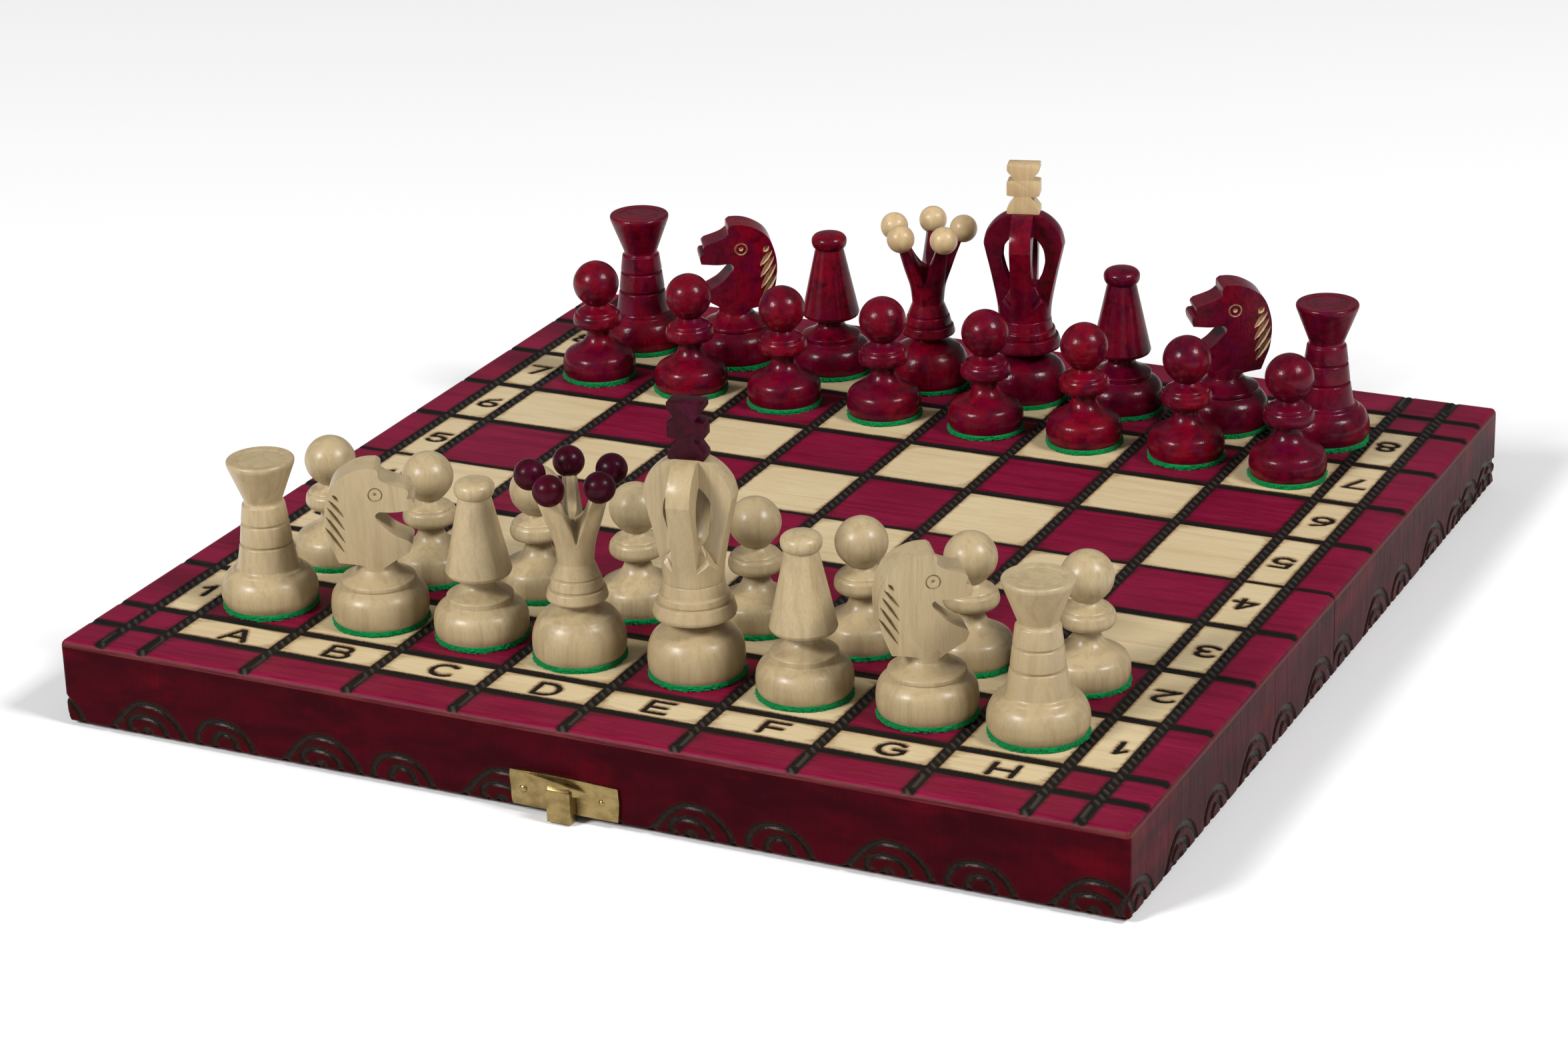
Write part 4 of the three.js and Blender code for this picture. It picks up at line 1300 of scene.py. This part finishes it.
def sheet_strip(stations, front, thick):
    """A bent strip: each station is (x, low z, high z, outer reach from the wall's face)."""
    points = []
    for x, low, high, out in stations:
        points += [(x, front - out, low), (x, front - out, high),
                   (x, front - out + thick, high), (x, front - out + thick, low)]
    sides = grid_faces(len(stations), 4, closed=True)[:, [0, 3, 2, 1]].tolist()
    last = 4 * len(stations)
    ends = [[0, 1, 2, 3], [last - 1, last - 2, last - 3, last - 4]]
    return new_mesh(points, sides + ends)


def nail(x, z, front, out, radius):
    """A round nail head on a plate."""
    head = [(radius, -0.2), (radius, 0.08), (radius * 0.8, 0.3), (radius * 0.45, 0.45)]
    profile = [(0, -0.2), *head, (0, 0.5)]
    return moved(lathe(profile, 20), tilted((x, front - out, z), 90))


def latch():
    """The bent plate with its band and nails, and the tongue that hangs in the band."""
    low, high = span("latch_plate")
    front = PANEL_LOW[1]
    bottom, top = low[2], high[2]
    left, right = low[0], high[0]
    shape = [
        (left + 0.3, bottom + 1.6), (left + 0.5, bottom + 0.4, E), (left + 3, bottom + 0.05),
        (right - 3, bottom), (right - 0.4, bottom + 0.1, E), (right - 0.1, bottom + 3), (right, bottom + 5),
        (right - 0.2, top - 0.5, E), (0, top), (left + 0.2, top - 0.1, E), (left, top - 2),
        (left + 0.25, bottom + 4.5),
    ]
    plate = slab(outline(shape, 0.4, closed=True), SHEET)
    plate.transform(Matrix.Translation((0, front - SHEET / 2, 0)))
    blade = []
    crest = 0.75
    for t in np.linspace(0, 1, 25):
        x = left + 1.2 + t * BAND_LENGTH
        rise = math.sin(math.pi * min(1, t / crest) / 2) ** 1.6
        fall = 1 if t < crest else math.cos(math.pi * (t - crest) / 0.5)
        reach = SHEET + BAND_BULGE * rise * fall
        upper = top - 0.15 - 1.3 * max(0, t - 0.45) - 9.5 * max(0, t - 0.7) ** 1.3
        lower = top - 0.9 - 2.3 * math.sin(math.pi * min(t, 0.72) / 1.44) - 3.2 * max(0, t - 0.72)
        blade.append((x, min(lower, upper - 0.15), upper, reach))
    band = sheet_strip(blade, front, BAND_THICKNESS)
    nails = [nail(x, NAIL_Z, front, SHEET, radius) for x, radius in NAILS]
    mesh = carved(join(plate, band, *nails), bevel=0.12)
    add_piece("latch_plate_brass", mesh, ("brass",), "front_half", ("latch_plate",))

    low, high = span("latch_tongue")
    front_y = low[1]
    width = high[0]
    inner = width - TONGUE_SHEET
    back = front_y + TONGUE_SHEET
    channel = carved(
        block((-width, front_y, low[2]), (width, front - 0.9, 8.6)),
        ("DIFFERENCE", block((-inner, back, low[2] - 1), (inner, front + 3, 8.0))),
        ("DIFFERENCE", block((-width - 1, back + 0.9, 7.0), (width + 1, front + 3, 9))),
    )
    lip_shape = [(-2.9, 0, E), (2.9, 0, E), (2.4, 1.5, E), (-3.6, 1.9, E)]
    lip = slab(outline(lip_shape, 0.3, closed=True), 0.55)
    lip.transform(tilted((0, front_y + 0.35, 8.3), -LIP_SLOPE))
    mesh = carved(join(channel, lip), bevel=0.22)
    add_piece("latch_tongue_brass", mesh, ("brass",), "tongue", ("latch_tongue",))


# ---- CAD nodes that stay
NODE_BEVEL = 0.15


def dress_nodes():
    """Gives the nodes that stay a finish, and eases their edges."""
    finishes = {"front_seam_wall": "inside", "back_seam_wall": "inside", "catch_plate": "brass"}
    for side in ("left", "right"):
        for part in ("front_leaf", "back_leaf", "pin"):
            finishes[f"hinge_{side}_{part}"] = "brass"
    for name, key in finishes.items():
        node = frame["nodes"][name]
        node.data.materials.clear()
        node.data.materials.append(MATERIALS[key])
        ease_edges(node, NODE_BEVEL * MM, 40)


# ---- studio
# In metres and watts. Each softbox has its place and power.
FLOOR = 6
AMBIENT = 0.22
SOFTBOXES = {"left_softbox": ((-1.22, -2.2, 1.7), 78), "right_softbox": ((2.1, -0.25, 2.05), 66)}
SOFTBOX_SIZE = 0.75
LIT_POINT = Vector((0, 0, 0.02))
CAMERA_PLACE = Vector((0.41976, -0.88102, 0.41763))
CAMERA_TARGET = Vector((-0.00675, -0.00654, TOP_Z * MM))
CAMERA_ROLL = math.radians(-1.69)
LENS = 93.5


def studio():
    floor_shader = Shader("pale_floor")
    tint = floor_shader.noise((300, 300, 300), 2)
    white = floor_shader.mix(tint, (0.93, 0.93, 0.93), (0.96, 0.96, 0.96))
    floor_material = floor_shader.surface(white, 0.9)
    mesh = bpy.data.meshes.new("floor")
    corners = [(FLOOR * x, FLOOR * y, 0) for x, y in ((-1, -1), (1, -1), (1, 1), (-1, 1))]
    mesh.from_pydata(corners, [], [(0, 1, 2, 3)])
    mesh.materials.append(floor_material)
    floor = in_scene("floor", mesh)

    world = bpy.data.worlds.new("studio")
    world.use_nodes = True
    background = world.node_tree.nodes["Background"]
    background.inputs["Color"].default_value = (1, 1, 1, 1)
    background.inputs["Strength"].default_value = AMBIENT
    bpy.context.scene.world = world

    for name, (place, power) in SOFTBOXES.items():
        light = bpy.data.lights.new(name, "AREA")
        light.energy = power
        light.size = SOFTBOX_SIZE
        lamp = in_scene(name, light)
        lamp.location = place
        lamp.rotation_euler = (LIT_POINT - Vector(place)).to_track_quat("-Z", "Y").to_euler()


def camera():
    ahead = (CAMERA_TARGET - CAMERA_PLACE).normalized()
    level = ahead.cross(Vector((0, 0, 1))).normalized()
    up = level.cross(ahead)
    right = level * math.cos(CAMERA_ROLL) + up * math.sin(CAMERA_ROLL)
    rise = up * math.cos(CAMERA_ROLL) - level * math.sin(CAMERA_ROLL)
    data = bpy.data.cameras.new("camera")
    data.sensor_width = 36
    data.lens = LENS
    data.clip_start = 0.01
    made = in_scene("camera", data)
    turn = Matrix((right, rise, -ahead)).transposed().to_4x4()
    made.matrix_world = Matrix.Translation(CAMERA_PLACE) @ turn
    bpy.context.scene.camera = made


board_half("front_board", True)
board_half("back_board", False)
wall("front_walls", True)
wall("back_walls", False)
for man in sorted(frame["bodies"]):
    if man.startswith(("white_", "black_")):
        chessman(man)
latch()
dress_nodes()
studio()
camera()
bpy.context.scene.view_settings.view_transform = "Standard"
